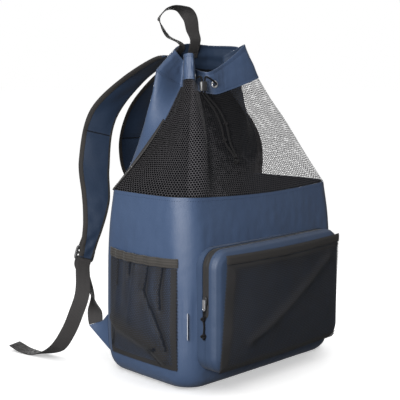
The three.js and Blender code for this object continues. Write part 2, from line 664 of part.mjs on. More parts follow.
function makeStrap(side) {
  const sign = side === "left" ? -1 : 1;
  const rows = STRAPS[side];
  const route = ribbonRoute(rows);
  const padThickness = (u, v) => {
    const crown = Math.sqrt(Math.max(0, Math.sin(Math.PI * THREE.MathUtils.clamp(u, 0, 1))));
    return mix(3, route.value("thick", v), v > 0.85 ? 1 : crown);
  };
  addPiece("strap_pad_" + side, wall(route.point, 4, 20, padThickness), "navy");

  const frame = lockFrame(route);
  const outline = new THREE.Shape();
  const halfWidth = WEBBING_WIDTH / 2 + LOCK.clear + LOCK.rail;
  const halfHeight = 1.5 * LOCK.bar + LOCK.slot;
  const round = LOCK.round;
  outline.moveTo(-halfWidth + round, -halfHeight);
  outline.lineTo(halfWidth - round, -halfHeight);
  outline.quadraticCurveTo(halfWidth, -halfHeight, halfWidth, -halfHeight + round);
  outline.lineTo(halfWidth, halfHeight - round);
  outline.quadraticCurveTo(halfWidth, halfHeight, halfWidth - round, halfHeight);
  outline.lineTo(-halfWidth + round, halfHeight);
  outline.quadraticCurveTo(-halfWidth, halfHeight, -halfWidth, halfHeight - round);
  outline.lineTo(-halfWidth, -halfHeight + round);
  outline.quadraticCurveTo(-halfWidth, -halfHeight, -halfWidth + round, -halfHeight);
  for (const level of [-1, 1]) {
    const middle = (level * (LOCK.bar + LOCK.slot)) / 2;
    const slotHalf = WEBBING_WIDTH / 2 + LOCK.clear;
    const hole = new THREE.Path();
    hole.moveTo(-slotHalf, middle - LOCK.slot / 2);
    hole.lineTo(-slotHalf, middle + LOCK.slot / 2);
    hole.lineTo(slotHalf, middle + LOCK.slot / 2);
    hole.lineTo(slotHalf, middle - LOCK.slot / 2);
    hole.closePath();
    outline.holes.push(hole);
  }
  const lock = new THREE.ExtrudeGeometry(outline, { depth: LOCK.thick, bevelEnabled: false, curveSegments: 4 });
  lock.translate(0, 0, -LOCK.thick / 2);
  const basis = new THREE.Matrix4().makeBasis(frame.across, frame.up, frame.across.clone().cross(frame.up));
  lock.applyMatrix4(basis.setPosition(frame.middle));
  addPiece("ladder_lock_" + side, lock, "plastic");

  const pitch = LOCK.bar + LOCK.slot;
  const loop = aroundBar(frame, pitch, -1);
  const sewn = loop[0].clone().addScaledVector(frame.up, LOOP_REACH);
  const plies = [sewn, ...loop, sewn.clone().addScaledVector(frame.out, WEBBING + 2 * SEAM)];
  addPiece("strap_loop_" + side, ribbon(asRows(plies, frame.across), 14, WEBBING_WIDTH, WEBBING), "black");

  const bend = aroundBar(frame, -pitch, 1);
  const inner = bend[0].clone().addScaledVector(frame.up, -RUN_REACH);
  const outer = bend[bend.length - 1].clone().addScaledVector(frame.up, -RUN_REACH);
  const onSide = (row) => ({ x: sign * row.x, y: row.y, z: row.z, turn: -sign * row.turn, rise: -sign * row.rise });
  const webbing = [
    ...ANCHOR_RUN.map(onSide),
    ...asRows([outer, ...bend.reverse(), inner], frame.across),
    ...TAIL.map(onSide),
  ];
  const strap = ribbonRoute(webbing, WEBBING_WIDTH);
  addPiece("strap_webbing_" + side, wall(strap.point, 1, 39, WEBBING), "black");

  const place = side === "left" ? 0 : 3;
  const root = (z) => {
    const up = bodyUp(z);
    return bodyPoint(place, up).addScaledVector(bodyNormal(place, up), CLOTH / 2 + 2 * SEAM);
  };
  const clearance = strap.centre.getTangent(0).multiplyScalar(-2.2 * SEAM);
  const tipEnd = (share) => strap.point(share, 0).add(clearance);
  const tabPoint = (u, v) => {
    const share = side === "left" ? u : 1 - u;
    const foot = root(mix(TAB.rootLow, TAB.rootHigh, u));
    return foot.lerp(tipEnd(share), v);
  };
  addPiece("anchor_tab_" + side, wall(tabPoint, 4, 4, TAB.thick), "navy");
}

// Point of a side pocket. across runs from the back edge to the front edge and up from its foot to its band.
function sidePocketPoint(side, across, z) {
  const share = mix(SIDE_POCKET.from, SIDE_POCKET.to, across);
  const place = side === "left" ? share : 3 - share;
  const up = bodyUp(z);
  const inside = THREE.MathUtils.clamp(across, 0, 1);
  const rise = (z - SIDE_POCKET.foot) / (SIDE_POCKET.bandLow - SIDE_POCKET.foot);
  const spread = Math.sin(Math.PI * inside) ** 0.7;
  const belly = SIDE_POCKET.belly * smooth(0, 0.4, rise);
  const stand = spread * mix(belly, SIDE_POCKET.mouth, smooth(0.35, 1, rise));
  const gather = GATHER_DEPTH * spread * Math.sin(2 * Math.PI * GATHERS * inside) * smooth(0.2, 1, rise);
  const lift = CLOTH / 2 + SEAM + BAND / 2;
  return bodyPoint(place, up).addScaledVector(bodyNormal(place, up), lift + stand + gather);
}

function makeSidePockets() {
  const sides = { left: (u) => u, right: (u) => 1 - u };
  for (const [side, across] of Object.entries(sides)) {
    const net = (u, v) => {
      return sidePocketPoint(side, across(u), mix(SIDE_POCKET.foot, SIDE_POCKET.bandLow - SEAM, v));
    };
    addPiece("side_pocket_" + side, wall(net, 18, 6, NET), "net");
    const band = (u, v) => sidePocketPoint(side, across(u), mix(SIDE_POCKET.bandLow, SIDE_POCKET.bandHigh, v));
    addPiece("side_pocket_band_" + side, wall(band, 18, 1, BAND), "black");
  }
}

function pocketOutline(place, inset) {
  const corner = Math.max(POCKET.corner - inset, 6);
  const ring = roundedRing(place, POCKET.halfWidth - inset, POCKET.halfHeight - inset, corner);
  return { x: POCKET.x + ring.a, z: POCKET.z + ring.b };
}

// How far the pocket's front lies back towards the right
function pocketLean(x) {
  return POCKET.lean * smooth(-0.2, 1, (x - POCKET.x) / POCKET.halfWidth);
}

// Places round the pocket, close together in its corners and at the ends of the zip
function ringPlaces() {
  const places = [];
  for (let side = 0; side < 4; side++) {
    const half = side % 2 === 0 ? POCKET.halfHeight : POCKET.halfWidth;
    const bend = (Math.PI / 4) * POCKET.corner;
    const turn = bend / (2 * (half - POCKET.corner) + 2 * bend);
    for (const share of [0, turn / 2, turn, 0.28, 0.46, 0.54, 0.72, 1 - turn, 1 - turn / 2]) places.push(side + share);
  }
  return [...places, 4];
}

// Half the width of the zip's slot at a place round the pocket
function zipHalfSlot(place) {
  const turn = place < ZIP.to - 4 ? place + 4 : place;
  const open = smooth(ZIP.from - 0.04, ZIP.from + 0.04, turn) * (1 - smooth(ZIP.to - 0.04, ZIP.to + 0.04, turn));
  return mix(SEAM / 2, ZIP.slot / 2, open);
}

// Y of the pocket's face at a point, from how far the point lies inside the outline
function faceY(x, z) {
  const inset = Math.min(POCKET.halfWidth - Math.abs(x - POCKET.x), POCKET.halfHeight - Math.abs(z - POCKET.z));
  for (let i = 1; i < FACE_ROWS.length; i++) {
    const from = FACE_ROWS[i - 1];
    const to = FACE_ROWS[i];
    if (inset < to.inset) return pocketLean(x) + mix(from.y, to.y, (inset - from.inset) / (to.inset - from.inset));
  }
  return pocketLean(x) + FACE_ROWS[FACE_ROWS.length - 1].y;
}

// A cap of even thickness: rings of points from the rim inwards, closed by a middle point
function cap(ringPoint, rings, middle, thickness) {
  const places = ringPlaces().slice(0, -1);
  const around = places.length;
  const points = [];
  const step = 1e-3;
  for (const side of [0.5, -0.5]) {
    for (let j = 0; j < rings; j++) {
      for (const place of places) {
        const du = ringPoint(place + step, j).sub(ringPoint(place - step, j));
        const inner = j + 1 < rings ? ringPoint(place, j + 1) : middle.clone();
        const outer = j > 0 ? ringPoint(place, j - 1) : ringPoint(place, j);
        const normal = du.cross(inner.sub(outer)).normalize();
        points.push(ringPoint(place, j).addScaledVector(normal, side * thickness));
      }
    }
    points.push(middle.clone().add(vec(0, -side * thickness, 0)));
  }
  const layer = rings * around + 1;
  const at = (i, j, k) => (i % around) + j * around + k * layer;
  const triangles = [];
  const quad = (a, b, c, d) => triangles.push(a, b, c, a, c, d);
  for (let i = 0; i < around; i++) {
    for (let j = 0; j + 1 < rings; j++) {
      quad(at(i, j, 0), at(i + 1, j, 0), at(i + 1, j + 1, 0), at(i, j + 1, 0));
      quad(at(i, j, 1), at(i, j + 1, 1), at(i + 1, j + 1, 1), at(i + 1, j, 1));
    }
    triangles.push(at(i, rings - 1, 0), at(i + 1, rings - 1, 0), layer - 1);
    triangles.push(at(i + 1, rings - 1, 1), at(i, rings - 1, 1), 2 * layer - 1);
    quad(at(i, 0, 0), at(i, 0, 1), at(i + 1, 0, 1), at(i + 1, 0, 0));
  }
  return solidGeometry(points, triangles);
}

function makeFrontPocket() {
  const gusset = (u, v) => {
    const place = 4 * u;
    const { x, z } = pocketOutline(place, 0);
    const up = bodyUp(z);
    const panel = bodyPoint(frontPlace(x, up), up).y - CLOTH / 2 - SEAM - 0.3;
    return vec(x, mix(panel, POCKET.zipY + pocketLean(x) + zipHalfSlot(place % 4), v), z);
  };
  addPiece("pocket_gusset", wall(gusset, ringPlaces().map((place) => place / 4), 1, CLOTH, true), "navy");
  const face = (place, ring) => {
    if (ring === 0) {
      const { x, z } = pocketOutline(place, 0);
      return vec(x, POCKET.zipY + pocketLean(x) - zipHalfSlot(((place % 4) + 4) % 4), z);
    }
    const row = FACE_ROWS[ring - 1];
    const { x, z } = pocketOutline(place, row.inset);
    return vec(x, row.y + pocketLean(x), z);
  };
  const middle = vec(POCKET.x, FACE_MIDDLE_Y + pocketLean(POCKET.x), POCKET.z);
  addPiece("pocket_face", cap(face, FACE_ROWS.length + 1, middle, CLOTH), "navy");
  const tape = (u, v) => {
    const { x, z } = pocketOutline(mix(ZIP.from, ZIP.to, u), CLOTH / 2 + SEAM + TAPE / 2);
    return vec(x, POCKET.zipY + pocketLean(x) + mix(ZIP.tape / 2, -ZIP.tape / 2, v), z);
  };
  const laps = [...ringPlaces(), ...ringPlaces().map((place) => place + 4)];
  const inside = [...new Set(laps)].filter((place) => place > ZIP.from && place < ZIP.to);
  const places = [ZIP.from, ...inside, ZIP.to].map((place) => (place - ZIP.from) / (ZIP.to - ZIP.from));
  addPiece("zip_tape", wall(tape, places, 1, TAPE), "black");
}

function makeZipPull() {
  const tapeFace = POCKET.x - POCKET.halfWidth + CLOTH / 2 + SEAM;
  const body = new THREE.Shape();
  const halfWidth = SLIDER.width / 2;
  const halfLength = SLIDER.length / 2;
  body.moveTo(-halfWidth, -halfLength + 3);
  body.lineTo(-halfWidth + 1.6, -halfLength);
  body.lineTo(halfWidth - 1.6, -halfLength);
  body.lineTo(halfWidth, -halfLength + 3);
  body.lineTo(halfWidth, halfLength - 2);
  body.quadraticCurveTo(halfWidth, halfLength, 0, halfLength);
  body.quadraticCurveTo(-halfWidth, halfLength, -halfWidth, halfLength - 2);
  body.closePath();
  const outFrame = new THREE.Matrix4().makeBasis(vec(0, -1, 0), vec(0, 0, 1), vec(-1, 0, 0));
  const slider = new THREE.ExtrudeGeometry(body, { depth: SLIDER.thick, bevelEnabled: false, curveSegments: 4 });
  slider.applyMatrix4(outFrame.clone().setPosition(tapeFace - SEAM, POCKET.zipY, SLIDER.z));
  addPiece("zip_slider", slider, "plastic");

  const plate = new THREE.Shape();
  const tabHalf = PULL_TAB.width / 2;
  plate.moveTo(-tabHalf, 0);
  plate.lineTo(-tabHalf, -PULL_TAB.length + tabHalf);
  plate.absarc(0, -PULL_TAB.length + tabHalf, tabHalf, Math.PI, 2 * Math.PI, false);
  plate.lineTo(tabHalf, 0);
  plate.closePath();
  const tab = new THREE.ExtrudeGeometry(plate, { depth: PULL_TAB.thick, bevelEnabled: false, curveSegments: 6 });
  const tabX = tapeFace - SEAM - SLIDER.thick - SEAM;
  tab.applyMatrix4(outFrame.clone().setPosition(tabX, POCKET.zipY, SLIDER.z + 2));
  addPiece("zip_tab", tab, "steel");

  const cordX = tabX - PULL_TAB.thick / 2 - SEAM;
  const cordTop = SLIDER.z + 2 - PULL_TAB.length - SEAM;
  const points = PULL_HANG.map((row) => vec(cordX, POCKET.zipY + row.slide, cordTop - row.drop * PULL_CORD.length));
  addPiece("zip_pull_cord", cord(points, PULL_CORD.diameter, 8), "black");
  const end = points[points.length - 1];
  const bead = new THREE.SphereGeometry(PULL_CORD.knot, 10, 6);
  bead.translate(end.x, end.y, end.z - PULL_CORD.knot - SEAM);
  addPiece("zip_pull_knot", bead, "black");
}

function makeSlipPocket() {
  const slipPoint = (u, z) => {
    const rise = (z - SLIP.foot) / (SLIP.hemHigh - SLIP.foot);
    const x = mix(mix(SLIP.leftFoot, SLIP.leftTop, rise), mix(SLIP.rightFoot, SLIP.rightTop, rise), u);
    const inside = THREE.MathUtils.clamp(u, 0, 1);
    const spread = Math.sin(Math.PI * inside) ** 0.6;
    const stand = spread * mix(SLIP_BELLY * smooth(0, 0.35, rise), SLIP_MOUTH, smooth(0.5, 1, rise));
    const lift = CLOTH / 2 + SEAM + BAND / 2 + FACE_FACET;
    return vec(x, faceY(x, z) - lift - stand, z);
  };
  const net = (u, v) => slipPoint(u, mix(SLIP.foot, SLIP.hemLow - SEAM, v));
  addPiece("front_net", wall(net, 14, 7, NET), "net");
  const hem = (u, v) => slipPoint(u, mix(SLIP.hemLow, SLIP.hemHigh, v));
  addPiece("front_net_hem", wall(hem, 14, 1, BAND), "black");
}

function makeLabel() {
  const point = (u, v) => {
    const up = bodyUp(mix(LABEL.low, LABEL.high, v));
    const normal = bodyNormal(1, up);
    return bodyPoint(1, up).addScaledVector(normal, LABEL.root + u * LABEL.depth);
  };
  addPiece("side_label", wall(point, 1, 4, LABEL.thick), "black");
}

makeBody();
makeUpper();
makeCollar();
makeDrawcord();
makeHandle();
makeStrap("left");
makeStrap("right");
makeSidePockets();
makeFrontPocket();
makeZipPull();
makeSlipPocket();
makeLabel();

export default group;
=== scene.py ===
import math

import bpy
import numpy as np
from mathutils import Matrix, Vector


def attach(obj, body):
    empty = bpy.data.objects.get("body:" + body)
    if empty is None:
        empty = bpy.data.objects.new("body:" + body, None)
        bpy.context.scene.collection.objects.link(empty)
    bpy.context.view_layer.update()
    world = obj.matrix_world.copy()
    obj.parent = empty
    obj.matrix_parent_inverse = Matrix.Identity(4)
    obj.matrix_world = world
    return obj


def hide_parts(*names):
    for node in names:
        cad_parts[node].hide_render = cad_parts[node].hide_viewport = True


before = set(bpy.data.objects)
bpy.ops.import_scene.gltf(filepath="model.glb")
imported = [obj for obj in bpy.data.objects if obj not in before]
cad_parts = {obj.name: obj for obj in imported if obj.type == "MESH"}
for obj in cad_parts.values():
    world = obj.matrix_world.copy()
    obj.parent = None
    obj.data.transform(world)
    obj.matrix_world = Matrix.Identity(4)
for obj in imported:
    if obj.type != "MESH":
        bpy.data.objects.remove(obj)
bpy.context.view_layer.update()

# Sizes are in millimetres, as in the solids, and become metres when a mesh is made
MM = 0.001
CLOTH = 1.6
NET = 1.2
COLLAR_CLOTH = 2.4
BAND = 2.2
TAPE = 1
WEBBING = 1.8
SEAM = 0.4

# Camera at the photograph's viewing angle
CAMERA_PLACE = (-1.1109, -1.0720, 0.4789)
CAMERA_BACK = Vector((-0.69599, -0.70577, 0.13226))
CAMERA_LENS = 82.53

# Lower body
CORNER = 34
PANEL_SWELL = 5
FRONT_RIM_SAG = 6
# half width, half depth, height
BODY_SECTIONS = [
    (161, 83, 0.8), (170, 92, 3), (177, 99, 12), (182, 103, 34), (183, 104, 160), (181, 100.5, 240),
    (178.5, 91.5, 300),
]
# side of the ring that each panel is on, its flat width; flat height of all of them
PANELS = {"side_panel_left": (0, 210), "front_panel": (1, 365), "side_panel_right": (2, 210)}
PANEL_HEIGHT = 300
BACK_WIDTH = 420
# depth, distance from the corner and half width, share of the height and half share
WRINKLES = [(2.4, 12, 4.5, 0.61, 0.06), (1.6, 24, 5, 0.58, 0.05)]
# Laps that close the seams: base over the panels, net under the wings, collar over the net
BASE_LAP = 0.5
WING_LAP = 0.03
COLLAR_FOOT = -0.015
# Seams of the collar's casing, as shares of its height
COLLAR_SEAMS = (0.08, 0.88)

# Folds of the upper: place on the rim; low edge of the collar; top edge of the collar; lean
FOLDS = [
    (0, (-42, 57, 464), (-32, 60, 506), (-18, -34, 0)),
    (0.96, (-73, 14, 477), (-69, 18, 517), (0, 0, 0)),
    (1.04, (-66, 3, 477), (-63, 9, 518), (0, 0, 0)),
    (1.2, (-34, 32, 460), (-30, 36, 494), (0, 0, 0)),
    (1.36, (-12, 9, 452), (-24, 14, 488), (0, 0, 0)),
    (1.64, (17, 4, 458), (15, 14, 502), (0, 0, 0)),
    (2, (90, 3, 480), (65, 13, 535), (0, 0, 0)),
    (3, (42, 40, 470), (44, 42, 515), (12, -26, 0)),
    (3.1, (104, 62, 486), (92, 52, 532), (12, -4, 0)),
    (3.3, (56, 95, 494), (58, 86, 535), (0, 0, 0)),
    (3.5, (0, 98, 498), (4, 89, 537), (0, 0, 0)),
    (3.7, (-48, 93, 496), (-24, 86, 530), (0, 0, 0)),
    (3.9, (-92, 60, 488), (-46, 66, 522), (0, -4, 0)),
]
FOLD_COUNT = len(FOLDS)
LEAN_TENSION = 0.4
TUCK_ROW = 7
# Front pleat of the net and the groove beside it, by the rows of the folds
PLEAT = {"row": 2.42, "half": 0.34, "roll": 12}
GROOVE = {"row": 1.72, "half": 0.14, "depth": 2.5}
# Rows where the pleat's net with painted highlight and the net with painted shade beside it set in and end
LIT_PLEAT_ROWS = (1.62, 1.78, 2.9, 3.5)
SHADED_NET_ROWS = (3.1, 3.7, 5.1, 5.9)
BINDING = {"lap": 15, "lap_top": 2, "wide": 27, "narrow": 5, "top": 0.67, "lift": 0.5}

# Eyelets and drawcord
EYELETS = {"left": (2.4, 0.2), "right": (4.2, 0.42)}
EYELET_HOLE = 3
EYELET_FLANGE = 6.2
EYELET_WALL = 0.9
CORD_DIAMETER = 3.2
TOGGLE = {"place": (-45, 1, 465), "length": 15, "half_width": 7.5, "half_depth": 4.6, "pitch": 6.4}
KNOT_RADIUS = 5
KNOT_PLACE = (3.96, 0.3)
# heights of a strand's straight stretch through the toggle, and each strand's bend above it
CORD_THREADED = (9, 0, -9)
CORD_ENTRY = {"left": (-1, 1.5, 6), "right": (2, 0, 6)}
# row, up, lift of the places that both strands hang by
CORD_HANG = [(3.82, 0.8, 6), (3.9, 0.66, 1.5), (3.95, 0.5, 0), (3.96, 0.4, 1)]
# how far each strand stands to its side at those places
CORD_APART = {"left": (2.2, 1.4, 2.6, 0.8), "right": (1.3, 2.4, 0.9, 1.2)}
# points along a strand, and which of them its own knot is on
CORD_POINTS = 140
CORD_TIES = {"left": 112, "right": 100}

# Webbing, straps and ladder locks
WEBBING_WIDTH = 25
LOCK = {"bar": 5, "slot": 6, "rail": 4.5, "clear": 0.4, "thick": 4, "rise": 6}
LOCK_SQUARENESS = 0.42
LOOP_REACH = 22
RUN_REACH = 9
PAD_END = 6
HANDLE_LEGS = (0.45, 1.14)
# row, half span, sign
HANDLE_LEFT = (10.98, 0.46, 1)
HANDLE_RIGHT = (9.74, 0.25, -1)
# x, y, z, turn, rise
HANDLE_ARCH = [
    (-36, 96, 549, 30, 0), (-46, 100, 564, 40, 0), (-50, 102, 578, 54, 0), (-39, 103, 590, 72, -22),
    (-20, 103, 598, 92, -16), (2, 100, 596, 120, -2), (17, 97, 583, 146, 0), (22, 95, 560, 164, 0),
]
# x, y, z, width, thick, turn
STRAPS = {
    "left": [
        (-28, 94.6, 515, 42, 3, 5), (-31, 113, 511, 46, 6, 3), (-46, 176, 475, 46, 8.5, -8),
        (-77, 225, 410, 51, 9, -20), (-102, 219, 326, 54, 9, -26), (-125, 186, 268, 47, 8.5, -26),
        (-143, 172, 226, 34, PAD_END, -24), (-152, 171.6, 198, 27, PAD_END, -21),
        (-160, 173, 171, 23, PAD_END, -20),
    ],
    "right": [
        (28, 97.2, 513, 42, 3, -4), (29, 114, 511, 46, 6, -5), (32, 186, 474, 50, 8.5, -8),
        (31, 247, 418, 53, 9, -8), (30, 274, 350, 55, 9, -2), (46, 272, 290, 54, 9, 4),
        (110, 212, 248, 47, 8.5, 16), (143, 172, 226, 34, PAD_END, 20), (152, 171, 198, 27, PAD_END, 20),
        (160, 173, 171, 23, PAD_END, 20),
    ],
}
STRAP_TAPE = {"outer": 6, "inner": 3.4, "lift": 0.65, "steps": 150}
STRAP_SEAM = 0.42
# x, y, z, turn, rise on the right side; the left side mirrors them
TAIL = [
    (178, 158, 128, -28, 0), (187, 151, 110, -36, 0), (196, 154, 85, -42, 0), (204, 165, 53, -44, 0),
    (213, 187, 20, -40, 0), (221, 225, 2.8, -30, 0), (229, 257, 2.8, -14, 0), (234, 287, 10, -6, 0),
]
ANCHOR_RUN = [(176, 127, 68, -44, 30), (163, 151, 106, 48, 0)]
TAB = {"root_low": 28, "root_high": 88, "thick": 1.8}

# Pockets
SIDE_POCKET = {
    "from": 0.13, "to": 0.93, "foot": 33, "band_low": 194, "band_high": 208, "belly": 20, "mouth": 13,
}
GATHERS = 6
GATHER_DEPTH = 1.6
POCKET = {"x": -7, "z": 128, "half_width": 155, "half_height": 95, "corner": 27, "zip_y": -122, "lean": 7}
FACE_INSETS = [0, 3, 10, 32, 66]
FACE_YS = [-133, -140, -144, -146, -148]
FACE_MIDDLE_Y = -149
FACE_FACET = 0.5
ZIP = {"from": 2.46, "to": 4.54, "slot": 14, "tape": 19}
SLIP = {
    "left_top": -142, "left_foot": -156, "right_top": 142, "right_foot": 134,
    "foot": 36, "low": 203, "high": 216,
}
COIL = {"pitch": 1.5, "half_length": 0.5, "half_width": 1.3, "apart": 1.15, "height": 0.75}
SLIP_BELLY = 9
SLIP_MOUTH = 11
SLIDER = {"z": 147, "width": 8, "length": 14, "thick": 3.6, "crown": 4, "foot": (1.6, 3), "tab": 2}
PULL_TAB = {"width": 5.6, "length": 17, "thick": 1.3, "eye": 1.3}
PULL_CORD = {"diameter": 2.4, "length": 36, "knot": 2.6}
# share of the drop, slide
PULL_HANG = [(0, 0), (0.3, 0.8), (0.65, -0.6), (1, 0.4)]
PULL_POINTS = 60
PULL_TIE = 22
LABEL = {"low": 85, "high": 125, "root": -0.1, "depth": 8, "thick": 1}

# Net threads: pitch of the holes and share of each cell that is open
NET_PITCH = 4.2
POCKET_PITCH = 3.3
UPPER_HEIGHT = 205
UPPER_FULLNESS = 1.12
UPPER_OPEN = 0.62
POCKET_OPEN = 0.4
HEM_OPEN = 0.04
# Flat width and height that folds are laid out on
POCKET_FLAT = (200, 165)
SLIP_FLAT = (280, 160)
# Width and height of the pockets' nets
POCKET_NET = (200, 172)
SLIP_NET = (290, 168)
STITCH_LIFT = 0.1
BAND_STITCH = {"lift_off": BAND / 2 + 0.05, "pitch": 3.4, "length": 2.4}
# Half widths of the side pockets' folds: in relief, where they close the cells, and of a valley's line of
# painted shade
CREASES = {"valley": 7, "ridge": 13, "closed_valley": 4.5, "closed_ridge": 15, "dark": 3.6}
CREASE_DEPTH = 4
CREASE_HEIGHT = 5
# Hems of the nets, in from their edges
POCKET_HEM = {"left": 7, "right": 12, "foot": 9}
SLIP_HEM = {"left": 15, "foot": 10, "top": 6}


def mix(a, b, share):
    return a + (b - a) * share


def smooth(low, high, value):
    t = np.clip((np.asarray(value, float) - low) / (high - low), 0, 1)
    return t * t * (3 - 2 * t)


def unit(v):
    return v / np.maximum(np.linalg.norm(v, axis=-1, keepdims=True), 1e-12)


def dot(a, b):
    return np.sum(a * b, axis=-1, keepdims=True)


def paired(a, b):
    return np.broadcast_arrays(np.asarray(a, float), np.asarray(b, float))


def between(rows, value):
    """A step up from the first row to the second, and down again from the third to the last."""
    return smooth(rows[0], rows[1], value) * (1 - smooth(rows[2], rows[3], value))


def round_points(radius_x, radius_y, turns, x=0, y=0):
    return [(x + radius_x * math.cos(t), y + radius_y * math.sin(t)) for t in turns]


def trefoil(count, depth):
    """The shape of a tied knot."""
    turns = np.linspace(0, 2 * math.pi, count)
    x = np.sin(turns) + 2 * np.sin(2 * turns)
    y = np.cos(turns) - 2 * np.cos(2 * turns)
    return np.stack([x, y, -np.sin(3 * turns) * depth], axis=-1)


def bump(middle, half, value):
    """A soft hump of height 1 round a place."""
    return np.exp(-(((np.asarray(value, float) - middle) / half) ** 2))


def spline(points, closed=False, tension=None):
    """A smooth line through points, as a function of places from 0 to 1."""
    points = np.array(points, float)
    count = len(points)
    padded = np.vstack([2 * points[0] - points[1], points, 2 * points[-1] - points[-2]])

    def at(place):
        place = np.asarray(place, float)
        if closed:
            along = np.mod(place, 1) * count
            first = np.floor(along).astype(int) % count
            p0, p1, p2, p3 = (points[(first + k) % count] for k in (-1, 0, 1, 2))
        else:
            along = np.clip(place, 0, 1) * (count - 1)
            first = np.minimum(np.floor(along).astype(int), count - 2)
            p0, p1, p2, p3 = (padded[first + k] for k in range(4))
        w = (along - np.floor(along) if closed else along - first)[..., None]
        if tension is None:
            step = lambda a, b: np.sqrt(np.linalg.norm(b - a, axis=-1, keepdims=True))
            d1 = np.maximum(step(p1, p2), 1e-4)
            d0 = np.maximum(step(p0, p1), 1e-4)
            d2 = np.maximum(step(p2, p3), 1e-4)
            t1 = ((p1 - p0) / d0 - (p2 - p0) / (d0 + d1) + (p2 - p1) / d1) * d1
            t2 = ((p2 - p1) / d1 - (p3 - p1) / (d1 + d2) + (p3 - p2) / d2) * d1
        else:
            t1 = tension * (p2 - p0)
            t2 = tension * (p3 - p1)
        return p1 + t1 * w + (3 * (p2 - p1) - 2 * t1 - t2) * w**2 + (2 * (p1 - p2) + t1 + t2) * w**3

    return at


def tangent(curve, place):
    step = 1e-4
    return unit(curve(np.clip(place + step, 0, 1)) - curve(np.clip(place - step, 0, 1)))


def normal_of(point, a, b, step=1e-3):
    along = point(a + step, b) - point(a - step, b)
    rise = point(a, b + step) - point(a, b - step)
    return unit(np.cross(along, rise))


def ripples(seed, scale):
    """Gentle unevenness of cloth over a flat length and width, of about height 1."""
    rng = np.random.default_rng(seed)
    turns = rng.uniform(0, 2 * math.pi, 8)
    rates = 2 * math.pi * rng.uniform(0.5, 1.5, 8) / scale
    starts = rng.uniform(0, 2 * math.pi, 8)

    def at(x, y):
        height = 0
        for rate, turn, start in zip(rates, turns, starts):
            height = height + np.sin(rate * (x * math.cos(turn) + y * math.sin(turn)) + start)
        return height / math.sqrt(8)

    return at


def bearing(turn, rise=0):
    a = math.radians(turn)
    b = math.radians(rise)
    return np.array([math.cos(a) * math.cos(b), math.sin(a) * math.cos(b), math.sin(b)])


# Surfaces of the bag, as in the solids
RING_NORMALS = np.array([(-1, 0), (0, -1), (1, 0), (0, 1)], float)
RING_TRAVELS = np.array([(0, -1), (1, 0), (0, 1), (-1, 0)], float)


def rounded_ring(place, half_a, half_b, corner):
    turn = np.mod(place, 4)
    side = np.minimum(np.floor(turn).astype(int), 3)
    share = turn - side
    even = side % 2 == 0
    reach = np.where(even, half_a, half_b)
    half = np.where(even, half_b, half_a)
    straight = 2 * (half - corner)
    bend = math.pi / 4 * corner
    distance = share * (straight + 2 * bend)
    first = math.pi / 4 - distance / corner
    last = (distance - bend - straight) / corner
    starts = distance < bend
    ends = distance > bend + straight
    angle = np.where(starts, first, np.where(ends, last, 0))
    out = reach - corner + corner * np.cos(angle)
    level = distance - bend - straight / 2
    along = np.where(starts, corner - half - corner * np.sin(first), level)
    along = np.where(ends, half - corner + corner * np.sin(last), along)
    normal = RING_NORMALS[side]
    return normal * out[..., None] + RING_TRAVELS[side] * along[..., None], normal, share, side


body_profile = spline(BODY_SECTIONS)
UP_TABLE = np.linspace(0, 1, 2001)
Z_TABLE = body_profile(UP_TABLE)[:, 2]


def body_point(place, up):
    place, up = paired(place, up)
    inside = np.clip(up, 0, 1)
    section = body_profile(inside) + tangent(body_profile, inside) * ((up - inside) * 100)[..., None]
    flat, normal, share, side = rounded_ring(place, section[..., 0], section[..., 1], CORNER)
    middle = np.sin(math.pi * share)
    swell = PANEL_SWELL * middle * smooth(0, 0.6, up)
    sag = np.where(side == 1, FRONT_RIM_SAG * middle * np.clip(up, 0, None) ** 8, 0)
    flat = flat + normal * swell[..., None]
    return np.concatenate([flat, (section[..., 2] - sag)[..., None]], axis=-1)


def body_up(z):
    return np.interp(z, Z_TABLE, UP_TABLE)


def front_place(x, up):
    low = np.full(np.shape(x), 1.0)
    high = np.full(np.shape(x), 2.0)
    for _ in range(30):
        middle = (low + high) / 2
        left = body_point(middle, up)[..., 0] < x
        low = np.where(left, middle, low)
        high = np.where(left, high, middle)
    return low


low_edge = spline([fold[1] for fold in FOLDS], closed=True)
top_edge = spline([fold[2] for fold in FOLDS], closed=True)
fold_lean = spline([fold[3] for fold in FOLDS], closed=True, tension=LEAN_TENSION)
RIMS = [fold[0] for fold in FOLDS] + [4]


def fold_rim(row):
    return np.interp(np.mod(row, FOLD_COUNT), np.arange(FOLD_COUNT + 1), RIMS)


def upper_point(row, up):
    row, up = paired(row, up)
    share = row / FOLD_COUNT
    stand = np.sin(math.pi * np.clip(up, 0, 1))
    base = mix(body_point(fold_rim(row), 1.0), low_edge(share), up[..., None])
    return base + fold_lean(share) * stand[..., None]


def on_upper(row, up, lift):
    row, up = paired(row, up)
    return upper_point(row, up) + normal_of(upper_point, row, up) * np.asarray(lift)[..., None]


def collar_point(row, up):
    row, up = paired(row, up)
    share = row / FOLD_COUNT
    return mix(low_edge(share), top_edge(share), up[..., None])


def side_pocket_point(side, across, z):
    across, z = paired(across, z)
    share = mix(SIDE_POCKET["from"], SIDE_POCKET["to"], across)
    place = share if side == "left" else 3 - share
    up = body_up(z)
    inside = np.clip(across, 0, 1)
    rise = (z - SIDE_POCKET["foot"]) / (SIDE_POCKET["band_low"] - SIDE_POCKET["foot"])
    spread = np.sin(math.pi * inside) ** 0.7
    belly = SIDE_POCKET["belly"] * smooth(0, 0.4, rise)
    stand = spread * mix(belly, SIDE_POCKET["mouth"], smooth(0.35, 1, rise))
    wave = np.sin(2 * math.pi * GATHERS * inside)
    gather = GATHER_DEPTH * spread * wave * smooth(0.2, 1, rise)
    lift = CLOTH / 2 + SEAM + BAND / 2 + stand + gather
    return body_point(place, up) + normal_of(body_point, place, up) * lift[..., None]


